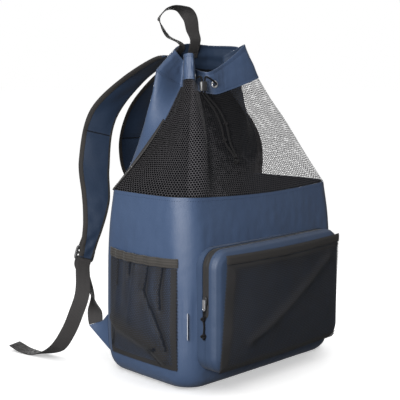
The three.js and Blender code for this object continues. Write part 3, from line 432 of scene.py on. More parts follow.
def pocket_outline(place, inset):
    corner = np.maximum(POCKET["corner"] - inset, 6)
    flat = rounded_ring(place, POCKET["half_width"] - inset, POCKET["half_height"] - inset, corner)[0]
    return POCKET["x"] + flat[..., 0], POCKET["z"] + flat[..., 1]


def pocket_lean(x):
    return POCKET["lean"] * smooth(-0.2, 1, (x - POCKET["x"]) / POCKET["half_width"])


def zip_half_slot(place):
    turn = np.mod(place, 4)
    turn = np.where(turn < ZIP["to"] - 4, turn + 4, turn)
    ends = (ZIP["from"] - 0.04, ZIP["from"] + 0.04, ZIP["to"] - 0.04, ZIP["to"] + 0.04)
    return mix(SEAM / 2, ZIP["slot"] / 2, between(ends, turn))


def face_y(x, z):
    side = POCKET["half_width"] - np.abs(x - POCKET["x"])
    inset = np.minimum(side, POCKET["half_height"] - np.abs(z - POCKET["z"]))
    return pocket_lean(x) + np.interp(inset, FACE_INSETS, FACE_YS)


def slip_point(u, z):
    u, z = paired(u, z)
    rise = (z - SLIP["foot"]) / (SLIP["high"] - SLIP["foot"])
    left = mix(SLIP["left_foot"], SLIP["left_top"], rise)
    right = mix(SLIP["right_foot"], SLIP["right_top"], rise)
    x = mix(left, right, u)
    spread = np.sin(math.pi * np.clip(u, 0, 1)) ** 0.6
    stand = spread * mix(SLIP_BELLY * smooth(0, 0.35, rise), SLIP_MOUTH, smooth(0.5, 1, rise))
    lift = CLOTH / 2 + SEAM + BAND / 2 + FACE_FACET
    return np.stack([x, face_y(x, z) - lift - stand, z], axis=-1)


# Meshes
def add_object(name, data):
    made = bpy.data.objects.new(name, data)
    bpy.context.scene.collection.objects.link(made)
    return made


def smoothed(name, mesh, sharp):
    mesh.shade_smooth()
    mesh.set_sharp_from_angle(angle=math.radians(sharp))
    mesh.update()
    return add_object(name, mesh)


def look_along(thing, direction):
    thing.rotation_mode = "QUATERNION"
    thing.rotation_quaternion = direction.to_track_quat("-Z", "Y")


def make_object(name, points, faces, uv, materials, slots=None, sharp=50):
    mesh = bpy.data.meshes.new(name)
    mesh.from_pydata((np.asarray(points) * MM).tolist(), [], faces)
    if uv is not None:
        loops = np.zeros(len(mesh.loops), np.int32)
        mesh.loops.foreach_get("vertex_index", loops)
        layer = mesh.uv_layers.new(name="UVMap")
        layer.data.foreach_set("uv", (np.asarray(uv) * MM)[loops].astype(np.float32).ravel())
    for material in materials:
        mesh.materials.append(material)
    if slots is not None:
        mesh.polygons.foreach_set("material_index", np.asarray(slots, np.int32))
    return smoothed(name, mesh, sharp)


def place_piece(piece, slot, *nodes):
    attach(piece, "root")
    if nodes:
        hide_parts(*nodes)
    return piece


def arc_lengths(points):
    steps = np.linalg.norm(np.diff(points, axis=0), axis=-1)
    return np.concatenate([[0], np.cumsum(steps)])


def shell(name, point, us, vs, thickness, materials, relief=None, closed=False):
    """A wall of cloth on both sides of point(u, v).

    The second material, if there is one, is on its inner face.
    """
    us = np.linspace(0, 1, us) if np.isscalar(us) else np.asarray(us, float)
    vs = np.linspace(0, 1, vs) if np.isscalar(vs) else np.asarray(vs, float)
    kept = us[:-1] if closed else us
    u, v = np.meshgrid(kept, vs)
    middle = point(u, v)
    normal = normal_of(point, u, v)
    if relief is not None:
        middle = middle + normal * relief(u, v)[..., None]
    thick = thickness(u, v) if callable(thickness) else np.full(u.shape, float(thickness))
    half = normal * (thick / 2)[..., None]
    rows, columns = u.shape
    points = np.concatenate([(middle + half).reshape(-1, 3), (middle - half).reshape(-1, 3)])
    lengths = arc_lengths(middle[rows // 2])
    heights = arc_lengths(middle[:, columns // 2])
    uv = np.stack(np.meshgrid(lengths, heights), axis=-1).reshape(-1, 2)
    index = np.arange(rows * columns).reshape(rows, columns)
    if closed:
        index = np.concatenate([index, index[:, :1]], axis=1)
    a, b, c, d = index[:-1, :-1], index[:-1, 1:], index[1:, 1:], index[1:, :-1]
    layer = rows * columns
    front = np.stack([a, b, c, d], axis=-1).reshape(-1, 4)
    back = np.stack([a, d, c, b], axis=-1).reshape(-1, 4) + layer
    borders = [index[0], index[-1][::-1]]
    if not closed:
        borders += [index[::-1, 0], index[:, -1]]
    edges = []
    for border in borders:
        edges.append(np.stack([border[:-1], border[:-1] + layer, border[1:] + layer, border[1:]], axis=-1))
    sides = np.concatenate(edges)
    faces = np.concatenate([front, back, sides])
    slots = None
    if len(materials) > 1:
        slots = np.concatenate([np.zeros(len(front)), np.ones(len(back)), np.zeros(len(sides))])
    return make_object(name, points, faces.tolist(), np.concatenate([uv, uv]), materials, slots)


def net_mesh(name, point, width, height, pitch, opened, materials, relief=None, look=None):
    """A net over point(u, v), with u and v from 0 to 1.

    opened(u, v) is the open share of its six-sided cells, and look(u, v) says which of the materials
    each of them takes.
    """
    row_step = 0.866
    cell_height = 1.155
    columns = max(4, round(width / pitch))
    rows = max(4, round(height / (pitch * row_step)))
    reach = 1 / math.sqrt(3)
    corners = np.array(round_points(reach, reach, math.pi / 6 + np.arange(6) * math.pi / 3))
    j, i = np.meshgrid(np.arange(rows), np.arange(columns), indexing="ij")
    middles = np.stack([i + 0.5 * (j % 2) + 0.25, j * row_step + 0.577], axis=-1).reshape(-1, 1, 2)
    size = np.array([columns + 0.5, (rows - 1) * row_step + cell_height])
    across, up = (middles[:, 0] / size).T
    shares = opened(across, up)
    rim = middles + corners
    hole = middles + corners * np.sqrt(shares)[:, None, None]
    flat = np.concatenate([rim, hole], axis=1).reshape(-1, 2) / size
    flat = np.clip(flat, 0, 1)
    u, v = flat.T
    place = point(u, v)
    if relief is not None:
        place = place + normal_of(point, u, v) * relief(u, v)[..., None]
    base = np.arange(rows * columns)[:, None] * 12
    turn = np.arange(6)
    after = (turn + 1) % 6
    quads = np.stack([base + turn, base + after, base + after + 6, base + turn + 6], axis=-1).reshape(-1, 4)
    uv = flat * np.array([width, height])
    slots = None
    if look is not None:
        slots = np.repeat(look(across, up), 6)
    return make_object(name, place, quads.tolist(), uv, materials, slots, sharp=180)


def tube(name, path, radius, material, sides=12, braid=0.0, lay=7.0):
    """A round cord along path points, with its two ends closed and a braided surface."""
    path = np.asarray(path, float)
    along = unit(np.gradient(path, axis=0))
    side = np.cross(along[0], (0.31, 0.67, 0.68))
    frames = []
    for direction in along:
        side = unit(side - direction * np.dot(side, direction))
        frames.append((side, np.cross(direction, side)))
    lengths = arc_lengths(path)
    angles = np.arange(sides) * 2 * math.pi / sides
    rings = []
    for (a, b), centre, length in zip(frames, path, lengths):
        twist = 2 * math.pi * length / lay
        lumps = np.abs(np.sin(2 * angles + twist)) + np.abs(np.sin(2 * angles - twist))
        reach = radius * (1 + braid * (lumps - 1.2))
        rings.append(centre + a * (np.cos(angles) * reach)[:, None] + b * (np.sin(angles) * reach)[:, None])
    points = np.concatenate([np.concatenate(rings), path[:1], path[-1:]])
    count = len(path)
    faces = []
    for r in range(count - 1):
        for s in range(sides):
            t = (s + 1) % sides
            faces.append((r * sides + s, r * sides + t, (r + 1) * sides + t, (r + 1) * sides + s))
    first = count * sides
    last = (count - 1) * sides
    for s in range(sides):
        t = (s + 1) % sides
        faces.append((first, t, s))
        faces.append((first + 1, last + s, last + t))
    uv = [(s * radius * 2 * math.pi / sides, length) for length in lengths for s in range(sides)]
    uv += [(0, 0), (0, lengths[-1])]
    return make_object(name, points, faces, uv, [material], sharp=70)


def plate(name, outlines, depth, rim, basis, place, material):
    """A flat plate with rounded edges: its outline and its holes, set on three axes at a place."""
    curve = bpy.data.curves.new(name + "_outline", "CURVE")
    curve.dimensions = "2D"
    curve.fill_mode = "BOTH"
    curve.extrude = (depth / 2 - rim) * MM
    curve.bevel_depth = rim * MM
    curve.bevel_resolution = 3
    curve.offset = -rim * MM
    for outline in outlines:
        line = curve.splines.new("POLY")
        line.points.add(len(outline) - 1)
        for spot, (x, y) in zip(line.points, outline):
            spot.co = (x * MM, y * MM, 0, 1)
        line.use_cyclic_u = True
    holder = add_object(name + "_outline", curve)
    made = holder.evaluated_get(bpy.context.evaluated_depsgraph_get())
    mesh = bpy.data.meshes.new_from_object(made)
    bpy.data.objects.remove(holder)
    turn = Matrix([[*row, 0] for row in np.array(basis).T.tolist()] + [[0, 0, 0, 1]])
    mesh.transform(Matrix.Translation(Vector(np.asarray(place) * MM)) @ turn)
    mesh.name = name
    mesh.materials.clear()
    mesh.materials.append(material)
    return smoothed(name, mesh, 40)


# Stitches are gathered by thread and made as one piece for each
# The dark thread, in the lining colour, is painted shade: a wide band along the strap pad's crease
threads = {"navy": [], "black": [], "dark": []}


def stitch(thread, points, normals, pitch=4.2, length=2.9, half=0.36, lift=0.12):
    points = np.asarray(points, float)
    lengths = arc_lengths(points)
    middles = np.arange(pitch / 2, lengths[-1], pitch)
    if len(middles) == 0:
        return

    def at(values, where):
        return np.stack([np.interp(where, lengths, values[:, k]) for k in range(3)], axis=-1)

    normal = unit(at(np.broadcast_to(np.asarray(normals, float), points.shape), middles))
    along = unit(at(points, middles + length / 2) - at(points, middles - length / 2))
    side = unit(np.cross(normal, along))
    centre = at(points, middles) + normal * lift
    corners = [
        centre - along * (length / 2), centre + along * (length / 2),
        centre - side * half, centre + side * half,
        centre - normal * half * 0.4, centre + normal * half,
    ]
    threads[thread].append(np.stack(corners, axis=1))


STITCH_FACES = np.array([
    (0, 2, 5), (2, 1, 5), (1, 3, 5), (3, 0, 5), (2, 0, 4), (1, 2, 4), (3, 1, 4), (0, 3, 4),
])


def make_stitches(thread, material, slot):
    points = np.concatenate(threads[thread])
    faces = (np.arange(len(points))[:, None, None] * 6 + STITCH_FACES).reshape(-1, 3).tolist()
    piece = make_object("stitches_" + thread, points.reshape(-1, 3), faces, None, [material], sharp=80)
    return place_piece(piece, slot)


def stitch_on(thread, point, us, vs, lift_off, **options):
    """A line of stitches on a surface, lifted off it."""
    us, vs = paired(us, vs)
    normals = normal_of(point, us, vs)
    stitch(thread, point(us, vs) + normals * lift_off, normals, **options)


# Materials
def shader_nodes(name, color, roughness, **sockets):
    material = bpy.data.materials.new(name)
    material.use_nodes = True
    tree = material.node_tree
    shader = tree.nodes["Principled BSDF"]
    shader.inputs["Base Color"].default_value = (*color, 1)
    shader.inputs["Roughness"].default_value = roughness
    for socket, value in sockets.items():
        shader.inputs[socket.replace("_", " ")].default_value = value
    return material, tree, shader


def add_node(tree, kind, **values):
    node = tree.nodes.new(kind)
    for key, value in values.items():
        socket = key.replace("_", " ")
        if socket in node.inputs:
            node.inputs[socket].default_value = value
        else:
            setattr(node, key, value)
    return node


def join(tree, source, output, target, socket):
    tree.links.new(source.outputs[output], target.inputs[socket])


def weave(tree, warp, weft):
    """Height of two crossing sets of threads, with their spacing in metres."""
    coord = add_node(tree, "ShaderNodeTexCoord")
    mapping = add_node(tree, "ShaderNodeMapping")
    join(tree, coord, "UV", mapping, "Vector")
    heights = []
    for spacing, direction in ((warp, "X"), (weft, "Y")):
        wave = add_node(tree, "ShaderNodeTexWave", bands_direction=direction, Scale=math.pi / (10 * spacing))
        join(tree, mapping, "Vector", wave, "Vector")
        heights.append(wave.outputs["Fac"])
    both = add_node(tree, "ShaderNodeMath", operation="MULTIPLY")
    tree.links.new(heights[0], both.inputs[0])
    tree.links.new(heights[1], both.inputs[1])
    return both.outputs["Value"]


def noise(tree, scale, detail=3.0):
    coord = add_node(tree, "ShaderNodeTexCoord")
    texture = add_node(tree, "ShaderNodeTexNoise", Scale=scale, Detail=detail)
    join(tree, coord, "Object", texture, "Vector")
    return texture.outputs["Fac"]


def two_colours(tree, shader, factor, first, second):
    blend = add_node(tree, "ShaderNodeMix", data_type="RGBA")
    blend.inputs[6].default_value = (*first, 1)
    blend.inputs[7].default_value = (*second, 1)
    tree.links.new(factor, blend.inputs[0])
    join(tree, blend, 2, shader, "Base Color")


def roughness_from(tree, shader, factor, low, high):
    spread = add_node(tree, "ShaderNodeMapRange", To_Min=low, To_Max=high)
    tree.links.new(factor, spread.inputs["Value"])
    join(tree, spread, "Result", shader, "Roughness")


def raise_by(tree, shader, height, strength, distance):
    relief = add_node(tree, "ShaderNodeBump", Strength=strength, Distance=distance)
    tree.links.new(height, relief.inputs["Height"])
    join(tree, relief, "Normal", shader, "Normal")


def cloth_material(name, dark, light, roughness, gloss, spacing, strength, crumple=0.0):
    material, tree, shader = shader_nodes(
        name, light, roughness, Sheen_Weight=0.02, Sheen_Roughness=0.5, Specular_IOR_Level=gloss,
    )
    clouds = noise(tree, 14.0)
    two_colours(tree, shader, clouds, dark, light)
    roughness_from(tree, shader, clouds, roughness - 0.07, roughness + 0.07)
    raise_by(tree, shader, weave(tree, spacing, spacing), strength, spacing * 0.35)
    if crumple:
        relief = shader.inputs["Normal"].links[0].from_node
        folds = add_node(tree, "ShaderNodeBump", Strength=crumple, Distance=0.003)
        tree.links.new(noise(tree, 45.0, 5.0), folds.inputs["Height"])
        join(tree, folds, "Normal", relief, "Normal")
    return material


def webbing_material(name, dark, light, ribs, crossing, strength):
    material, tree, shader = shader_nodes(
        name, light, 0.72, Sheen_Weight=0.03, Sheen_Roughness=0.45, Specular_IOR_Level=0.08,
    )
    height = weave(tree, ribs, crossing)
    two_colours(tree, shader, height, dark, light)
    raise_by(tree, shader, height, strength, 0.0004)
    return material


def plain_material(name, dark, light, roughness, metallic, scale, strength):
    material, tree, shader = shader_nodes(name, light, roughness, Metallic=metallic)
    grain = noise(tree, scale, 4.0)
    two_colours(tree, shader, grain, dark, light)
    roughness_from(tree, shader, grain, roughness - 0.06, roughness + 0.08)
    raise_by(tree, shader, grain, strength, 0.0002)
    return material


# Thread spacing in metres and depth of the weave; for nets and sewing thread also roughness and gloss
WEAVE = (0.0009, 0.25)
NET_YARN = (0.7, 0.05, 0.0007, 0.3)
SEWING_YARN = (0.7, 0.05, 0.0005, 0.1)
# name, darkest colour, lightest colour, roughness, gloss, weave, crumple
navy = cloth_material(
    "navy_cloth", (0.0122, 0.0215, 0.0435), (0.0152, 0.0266, 0.052), 0.56, 0.22, *WEAVE, 0.3,
)
navy_pad = cloth_material(
    "navy_pad", (0.0042, 0.0080, 0.0162), (0.0056, 0.0104, 0.0206), 0.6, 0.08, *WEAVE, 0.3,
)
# Darker copy of the navy cloth for the front pocket, painted shade
navy_pocket_shaded = cloth_material(
    "navy_pocket_shaded", (0.0088, 0.0158, 0.032), (0.011, 0.0196, 0.038), 0.58, 0.2, *WEAVE, 0.4,
)
# Darker copy of the navy cloth for the collar's inner face, painted shade
navy_inside_shaded = cloth_material(
    "navy_inside_shaded", (0.005, 0.0096, 0.019), (0.007, 0.0125, 0.0245), 0.6, 0.08, *WEAVE,
)
# Near-black lining of the insides; the same colour is also used as painted shade on the side pockets' fold
# lines and along the strap's crease
lining_and_painted_shade = cloth_material(
    "dark_lining_and_painted_shade", (0.002, 0.0025, 0.0035), (0.003, 0.0035, 0.005), 0.8, 0.03, 0.0009, 0.2,
)
net_black = cloth_material("black_net", (0.012, 0.0115, 0.0124), (0.018, 0.0172, 0.0184), *NET_YARN)
# Paler and darker copies of the black net: painted highlight on the pleat and painted shade beside it
net_painted_highlight = cloth_material("pleat_net_painted_highlight", (0.020, 0.0192, 0.0206), (0.029, 0.0277, 0.0297), *NET_YARN)
net_painted_shade = cloth_material("painted_shade_net", (0.0045, 0.0043, 0.0046), (0.007, 0.0067, 0.0072), *NET_YARN)
net_pocket = cloth_material("pocket_net", (0.007, 0.0068, 0.007), (0.011, 0.0107, 0.011), *NET_YARN)
cord_black = cloth_material(
    "black_cord", (0.0013, 0.0012, 0.0014), (0.0032, 0.003, 0.0032), 0.65, 0.05, 0.0012, 0.5,
)
thread_navy = cloth_material("navy_thread", (0.008, 0.014, 0.029), (0.011, 0.019, 0.038), *SEWING_YARN)
thread_black = cloth_material(
    "black_thread", (0.005, 0.005, 0.0055), (0.009, 0.0086, 0.009), *SEWING_YARN,
)
label_cloth = cloth_material(
    "label_cloth", (0.12, 0.125, 0.14), (0.17, 0.175, 0.19), 0.6, 0.2, 0.0006, 0.3,
)
# name, darkest colour, lightest colour, spacing of the ribs, spacing across them, depth
webbing = webbing_material(
    "black_webbing", (0.008, 0.0076, 0.0076), (0.031, 0.029, 0.029), 0.0021, 0.0009, 0.7,
)
elastic = webbing_material(
    "ribbed_elastic", (0.012, 0.011, 0.010), (0.026, 0.024, 0.022), 0.0012, 0.004, 0.6,
)
tape_cloth = webbing_material(
    "black_tape", (0.007, 0.0066, 0.0064), (0.017, 0.0155, 0.0148), 0.0011, 0.0011, 0.5,
)
# name, darkest colour, lightest colour, roughness, metallic, scale of the grain, depth
plastic = plain_material(
    "black_plastic", (0.005, 0.005, 0.0055), (0.009, 0.009, 0.0095), 0.42, 0.0, 300.0, 0.15,
)
steel = plain_material("bright_metal", (0.62, 0.62, 0.64), (0.80, 0.80, 0.82), 0.28, 1.0, 500.0, 0.08)
dull_steel = plain_material("dull_metal", (0.48, 0.48, 0.50), (0.60, 0.60, 0.62), 0.36, 1.0, 500.0, 0.08)


# Camera
def make_camera():
    data = bpy.data.cameras.new("camera")
    data.lens = CAMERA_LENS
    data.sensor_width = 36
    camera = add_object("camera", data)
    camera.location = CAMERA_PLACE
    look_along(camera, -CAMERA_BACK)
    bpy.context.scene.camera = camera


# Cords
def tied_knot(name, path, radius, sides, lay, *nodes):
    return place_piece(tube(name, path, radius, cord_black, sides, 0.08, lay), "black_cord", *nodes)


def make_drawcord():
    middle = np.array(TOGGLE["place"], float)
    knot = on_upper(KNOT_PLACE[0], KNOT_PLACE[1], NET / 2 + SEAM + KNOT_RADIUS)
    shape = trefoil(61, 1.6)
    bead = tied_knot("drawcord_end_knot", knot + shape * 1.15, 1.55, 10, 5, "drawcord_knot")
    rest = NET / 2 + SEAM + CORD_DIAMETER / 2
    for side, sign in (("left", -1), ("right", 1)):
        row, up = EYELETS[side]
        mouth = collar_point(row, up)
        normal = normal_of(collar_point, row, up)
        drop = np.array([0, 0, EYELET_HOLE - CORD_DIAMETER / 2 - SEAM])
        beside = np.array([sign * TOGGLE["pitch"] / 2, 0, 0])
        threaded = [middle + beside + np.array([0, 0, rise]) for rise in CORD_THREADED]
        hang = []
        for (a, b, c), apart in zip(CORD_HANG, CORD_APART[side]):
            hang.append(on_upper(a, b, rest + c) + beside * apart)
        points = [
            mouth - normal * 4 - drop,
            mouth + normal * 4 - drop,
            mouth + normal * 9 + np.array([-2, 0, 1]),
            threaded[0] + np.array(CORD_ENTRY[side]),
            *threaded,
            *hang,
            knot + np.array([2.1 * sign, 1, KNOT_RADIUS + 2 * SEAM]),
        ]
        path = spline(points)(np.linspace(0, 1, CORD_POINTS))
        length = arc_lengths(path)[-1]
        piece = tube("drawcord_strand_" + side, path, CORD_DIAMETER / 2, cord_black, 12, 0.06)
        place_piece(piece, "black_cord", "drawcord_" + side)
        tie = path[CORD_TIES[side]] + shape * 0.95
        tied = tied_knot("drawcord_tie_" + side, tie, 1.5, 10, 5)


def make_zip_pull():
    tape_face = POCKET["x"] - POCKET["half_width"] + CLOTH / 2 + SEAM
    basis = np.array([(0, -1, 0), (0, 0, 1), (-1, 0, 0)], float)
    half_width = SLIDER["width"] / 2
    half_length = SLIDER["length"] / 2
    turns = np.linspace(0, math.pi, 13)
    crown = round_points(half_width, SLIDER["crown"], turns, y=half_length - SLIDER["crown"])
    cut, rise = SLIDER["foot"]
    body = [(-half_width, -half_length + rise), (-half_width + cut, -half_length)]
    body += [(half_width - cut, -half_length), (half_width, -half_length + rise), *crown]
    middle_x = tape_face - SEAM - SLIDER["thick"] / 2
    place = (middle_x, POCKET["zip_y"], SLIDER["z"])
    slider = plate("zip_slider_body", [body], SLIDER["thick"], 0.6, basis, place, plastic)
    place_piece(slider, "black_plastic", "zip_slider")

    tab_half = PULL_TAB["width"] / 2
    turns = np.linspace(math.pi, 2 * math.pi, 15)
    foot = -PULL_TAB["length"] + tab_half
    outline = [(tab_half, 0), (-tab_half, 0)]
    outline += round_points(tab_half, tab_half, turns, y=foot)
    turns = np.linspace(0, 2 * math.pi, 17)[:-1]
    eye = round_points(PULL_TAB["eye"], PULL_TAB["eye"], turns, y=foot)
    tab_x = tape_face - SEAM - SLIDER["thick"] - SEAM
    place = (tab_x - PULL_TAB["thick"] / 2, POCKET["zip_y"], SLIDER["z"] + SLIDER["tab"])
    tab = plate("zip_tab_plate", [outline, eye], PULL_TAB["thick"], 0.3, basis, place, dull_steel)
    place_piece(tab, "bright_metal", "zip_tab")

    cord_x = tab_x - PULL_TAB["thick"] / 2 - SEAM
    top = SLIDER["z"] + SLIDER["tab"] - PULL_TAB["length"] - SEAM
    drops = []
    for share, slide in PULL_HANG:
        drops.append((cord_x, POCKET["zip_y"] + slide, top - share * PULL_CORD["length"]))
    path = spline(drops)(np.linspace(0, 1, PULL_POINTS))
    length = arc_lengths(path)[-1]
    radius = PULL_CORD["diameter"] / 2
    cord = tube("zip_pull_strand", path, radius, cord_black, 10, 0.07, 4)
    place_piece(cord, "black_cord", "zip_pull_cord")
    end = path[-1] - np.array([0, 0, PULL_CORD["knot"] + SEAM])
    shape = trefoil(49, 1.3)[:, [0, 2, 1]]
    tied = tied_knot("zip_pull_tie", path[PULL_TIE] + shape * 1.1, 1.7, 8, 4)
    knot = tied_knot("zip_pull_end_knot", end + shape * 1.2, 1.8, 8, 4, "zip_pull_knot")


# Body
def make_body():
    uneven = ripples(3, 90)
    fine = ripples(4, 26)
    for name, (side, width) in PANELS.items():
        point = lambda u, v, side=side: body_point(side + u, v)

        def relief(u, v, side=side, width=width):
            x = u * width + side * 500
            y = v * PANEL_HEIGHT
            near = np.minimum(u, 1 - u) * width
            edge = np.minimum(near, PANEL_HEIGHT - y)
            calm = smooth(0, 30, edge) * smooth(0, 0.5, v)
            pucker = 0.3 * np.sin(x * 0.62) * np.exp((y - PANEL_HEIGHT) / 9) * smooth(0, 6, edge)
            wrinkle = 0
            for depth, place, half, height, half_height in WRINKLES:
                wrinkle = wrinkle + depth * bump(place, half, near) * bump(height, half_height, v)
            return calm * (0.45 * uneven(x, y) + 0.2 * fine(x, y)) + pucker - wrinkle

        piece = shell(name + "_cloth", point, round(width / 4), 70, CLOTH, [navy, lining_and_painted_shade], relief)
        place_piece(piece, "navy_cloth", name)
        across = np.linspace(0.01, 0.99, 120)
        stitch_on("navy", point, across, 0.985, CLOTH / 2 + STITCH_LIFT)

    def back_point(u, v):
        row = mix(TUCK_ROW, FOLD_COUNT, u)
        u, v = paired(u, v)
        low = body_point(fold_rim(row), np.minimum(v, 1))
        high = upper_point(row, np.clip((v - 1), 0, 2))
        return np.where((v < 1)[..., None], low, high)

    def back_relief(u, v):
        edge = np.minimum(u, 1 - u) * 500
        calm = smooth(4, 45, edge) * smooth(0, 0.5, v) * smooth(0, 0.12, np.abs(v - 1))
        x = u * BACK_WIDTH
        y = v * PANEL_HEIGHT
        return calm * (0.5 * uneven(x, y) + 0.2 * fine(x, y))

    wing = np.array([0, 0.009, 0.018, 0.03, 0.045, 0.065, 0.09, 0.12, 0.15])
    columns = np.concatenate([wing, np.linspace(0.17, 0.83, 50), 1 - wing[::-1]])
    rows = np.concatenate([np.linspace(0, 0.999, 60), 1 + np.linspace(0.0012, 1, 50)])
    piece = shell("back_panel_cloth", back_point, columns, rows, CLOTH, [navy, lining_and_painted_shade], back_relief)
    place_piece(piece, "navy_cloth", "back_panel")

    foot = BODY_SECTIONS[0]

    def base_point(u, v):
        flat = rounded_ring(4 * u, foot[0] + BASE_LAP, foot[1] + BASE_LAP, CORNER)[0] * v[..., None]
        return np.concatenate([flat, np.full(u.shape + (1,), CLOTH / 2)], axis=-1)

    rings = np.linspace(0.01, 1, 16)
    base = shell("base_panel_cloth", base_point, 81, rings, CLOTH, [lining_and_painted_shade, navy], closed=True)
    place_piece(base, "navy_cloth", "base_panel")


def flat_table(point, rows, up):
    """Places along the rows at even lengths of the surface."""
    places = np.linspace(rows[0], rows[1], 400)
    return arc_lengths(point(places, np.full(400, up))), places


def make_upper():
    lengths, places = flat_table(upper_point, (-WING_LAP, TUCK_ROW + WING_LAP), 0.3)
    sag = ripples(8, 60)

    def row_at(u):
        return np.interp(u * lengths[-1], lengths, places)

    def point(u, v):
        return upper_point(row_at(u), v)

    def relief(u, v):
        held = np.sin(math.pi * np.clip(v, 0, 1))
        row = row_at(u)
        pleat = PLEAT["roll"] * bump(PLEAT["row"], PLEAT["half"], row) * np.sqrt(np.clip(held, 0, 1))
        groove = GROOVE["depth"] * bump(GROOVE["row"], GROOVE["half"], row) * held
        return 0.8 * sag(u * lengths[-1], v * 200) * held + pleat - groove

    def opened(u, v):
        edge = np.minimum(u, 1 - u) * lengths[-1]
        return mix(HEM_OPEN, UPPER_OPEN, smooth(4, 7, edge))

    def look(u, v):
        # The pleat's net takes a paler colour, a painted highlight where it stands forward in the light, and
        # the net beside it a darker colour, painted shade
        row = row_at(u)
        painted_shade_share = between(SHADED_NET_ROWS, row) * smooth(0.15, 0.5, v)
        chance = np.random.default_rng(5).random(row.shape)
        return np.where(chance < between(LIT_PLEAT_ROWS, row), 1, np.where(chance < painted_shade_share, 2, 0))

    looks = [net_black, net_painted_highlight, net_painted_shade]
    width = lengths[-1] * UPPER_FULLNESS
    net = net_mesh("net_upper_mesh", point, width, UPPER_HEIGHT, NET_PITCH, opened, looks, relief, look)
    place_piece(net, "black_net", "net_upper")
    middle = arc_lengths(point(np.linspace(0, 1, 400), np.full(400, 0.5)))[-1]
    for side, row, inward in (("left", FOLD_COUNT, -1), ("right", TUCK_ROW, 1)):

        def tape(u, v, row=row, inward=inward):
            u, v = paired(u, v)
            step = 0.1
            edge = upper_point(row, v)
            cloth = np.linalg.norm(upper_point(row + inward * step, v) - edge, axis=-1) / step
            net = np.linalg.norm(upper_point(row - inward * step, v) - edge, axis=-1) / step
            width = mix(BINDING["wide"], BINDING["narrow"], v / BINDING["top"])
            lap = mix(BINDING["lap"], BINDING["lap_top"], v / BINDING["top"])
            inset = width * (u if inward > 0 else 1 - u) - lap
            shift = inset / np.where(inset > 0, cloth, net)
            return on_upper(row + inward * shift, v, CLOTH / 2 + BINDING["lift"] + TAPE / 2)

        rows = np.linspace(-0.012, BINDING["top"], 60)
        piece = shell("binding_tape_" + side, tape, 15, rows, TAPE, [tape_cloth])
        place_piece(piece, "black_webbing", "binding_" + side)
        stitch_on("black", tape, 0.25 if inward < 0 else 0.75, rows, TAPE / 2 + STITCH_LIFT)


def make_collar():
    fine = ripples(12, 16)
    broad = ripples(13, 70)

    def point(u, v):
        return collar_point(u * FOLD_COUNT, mix(COLLAR_FOOT, 1, v))

    def relief(u, v):
        x = u * 640
        inside = np.sin(math.pi * np.clip(v, 0, 1))
        row = u * FOLD_COUNT
        back = bump(9.4, 1.6, row) * inside
        folds = 1.5 * np.sin(11 * v + 0.5 * row) * back
        return 0.35 * fine(x, v * 30) * inside + 0.5 * broad(x, v * 40) + folds

    def thick(u, v):
        seams = 0.5 * sum(bump(seam, 0.03, v) for seam in COLLAR_SEAMS)
        return COLLAR_CLOTH + 0.7 * bump(0.97, 0.05, v) - seams

    beside = [seam + shift for seam in COLLAR_SEAMS for shift in (-0.02, 0, 0.02)]
    rows = np.unique(np.concatenate([np.linspace(0, 1, 22), beside, [0.97, 0.985]]))
    piece = shell("collar_casing", point, 521, rows, thick, [navy, navy_inside_shaded], relief, closed=True)
    place_piece(piece, "navy_cloth", "collar")
    around = np.linspace(0, 1, 600)
    for up in COLLAR_SEAMS:
        stitch_on("navy", point, around, up, COLLAR_CLOTH / 2)


def make_eyelets():
    for side, (row, up) in EYELETS.items():
        place = collar_point(row, up)
        normal = normal_of(collar_point, row, up)
        front = COLLAR_CLOTH / 2 + SEAM
        turns = np.linspace(0, math.pi, 9)
        middle = (EYELET_HOLE + EYELET_FLANGE) / 2
        half = (EYELET_FLANGE - EYELET_HOLE) / 2
        section = [(EYELET_HOLE, -front - SEAM), (EYELET_HOLE + EYELET_WALL, -front - SEAM)]
        section += [(EYELET_HOLE + EYELET_WALL, front)]
        section += round_points(half, EYELET_WALL, turns, middle, front)
        a = unit(np.cross(normal, (0.2, 0.3, 0.9)))
        b = np.cross(normal, a)
        count = 40
        points = []
        for k in range(count):
            angle = 2 * math.pi * k / count
            out = a * math.cos(angle) + b * math.sin(angle)
            points += [place + out * radius + normal * height for radius, height in section]
        size = len(section)
        faces = []
        for k in range(count):
            m = (k + 1) % count
            for s in range(size):
                t = (s + 1) % size
                faces.append((k * size + s, k * size + t, m * size + t, m * size + s))
        ring = make_object("eyelet_ring_" + side, points, faces, None, [steel], sharp=60)
        place_piece(ring, "bright_metal", "eyelet_" + side)


def make_toggle():
    turns = np.linspace(0, 2 * math.pi, 41)[:-1]
    outlines = [round_points(TOGGLE["half_width"], TOGGLE["half_depth"], turns)]
    radius = CORD_DIAMETER / 2 + 1.5 * SEAM
    for sign in (-1, 1):
        outlines.append(round_points(radius, radius, turns[::2], sign * TOGGLE["pitch"] / 2))
    piece = plate("cord_toggle_bean", outlines, TOGGLE["length"], 0.5, np.eye(3), TOGGLE["place"], plastic)
    place_piece(piece, "black_plastic", "cord_toggle")


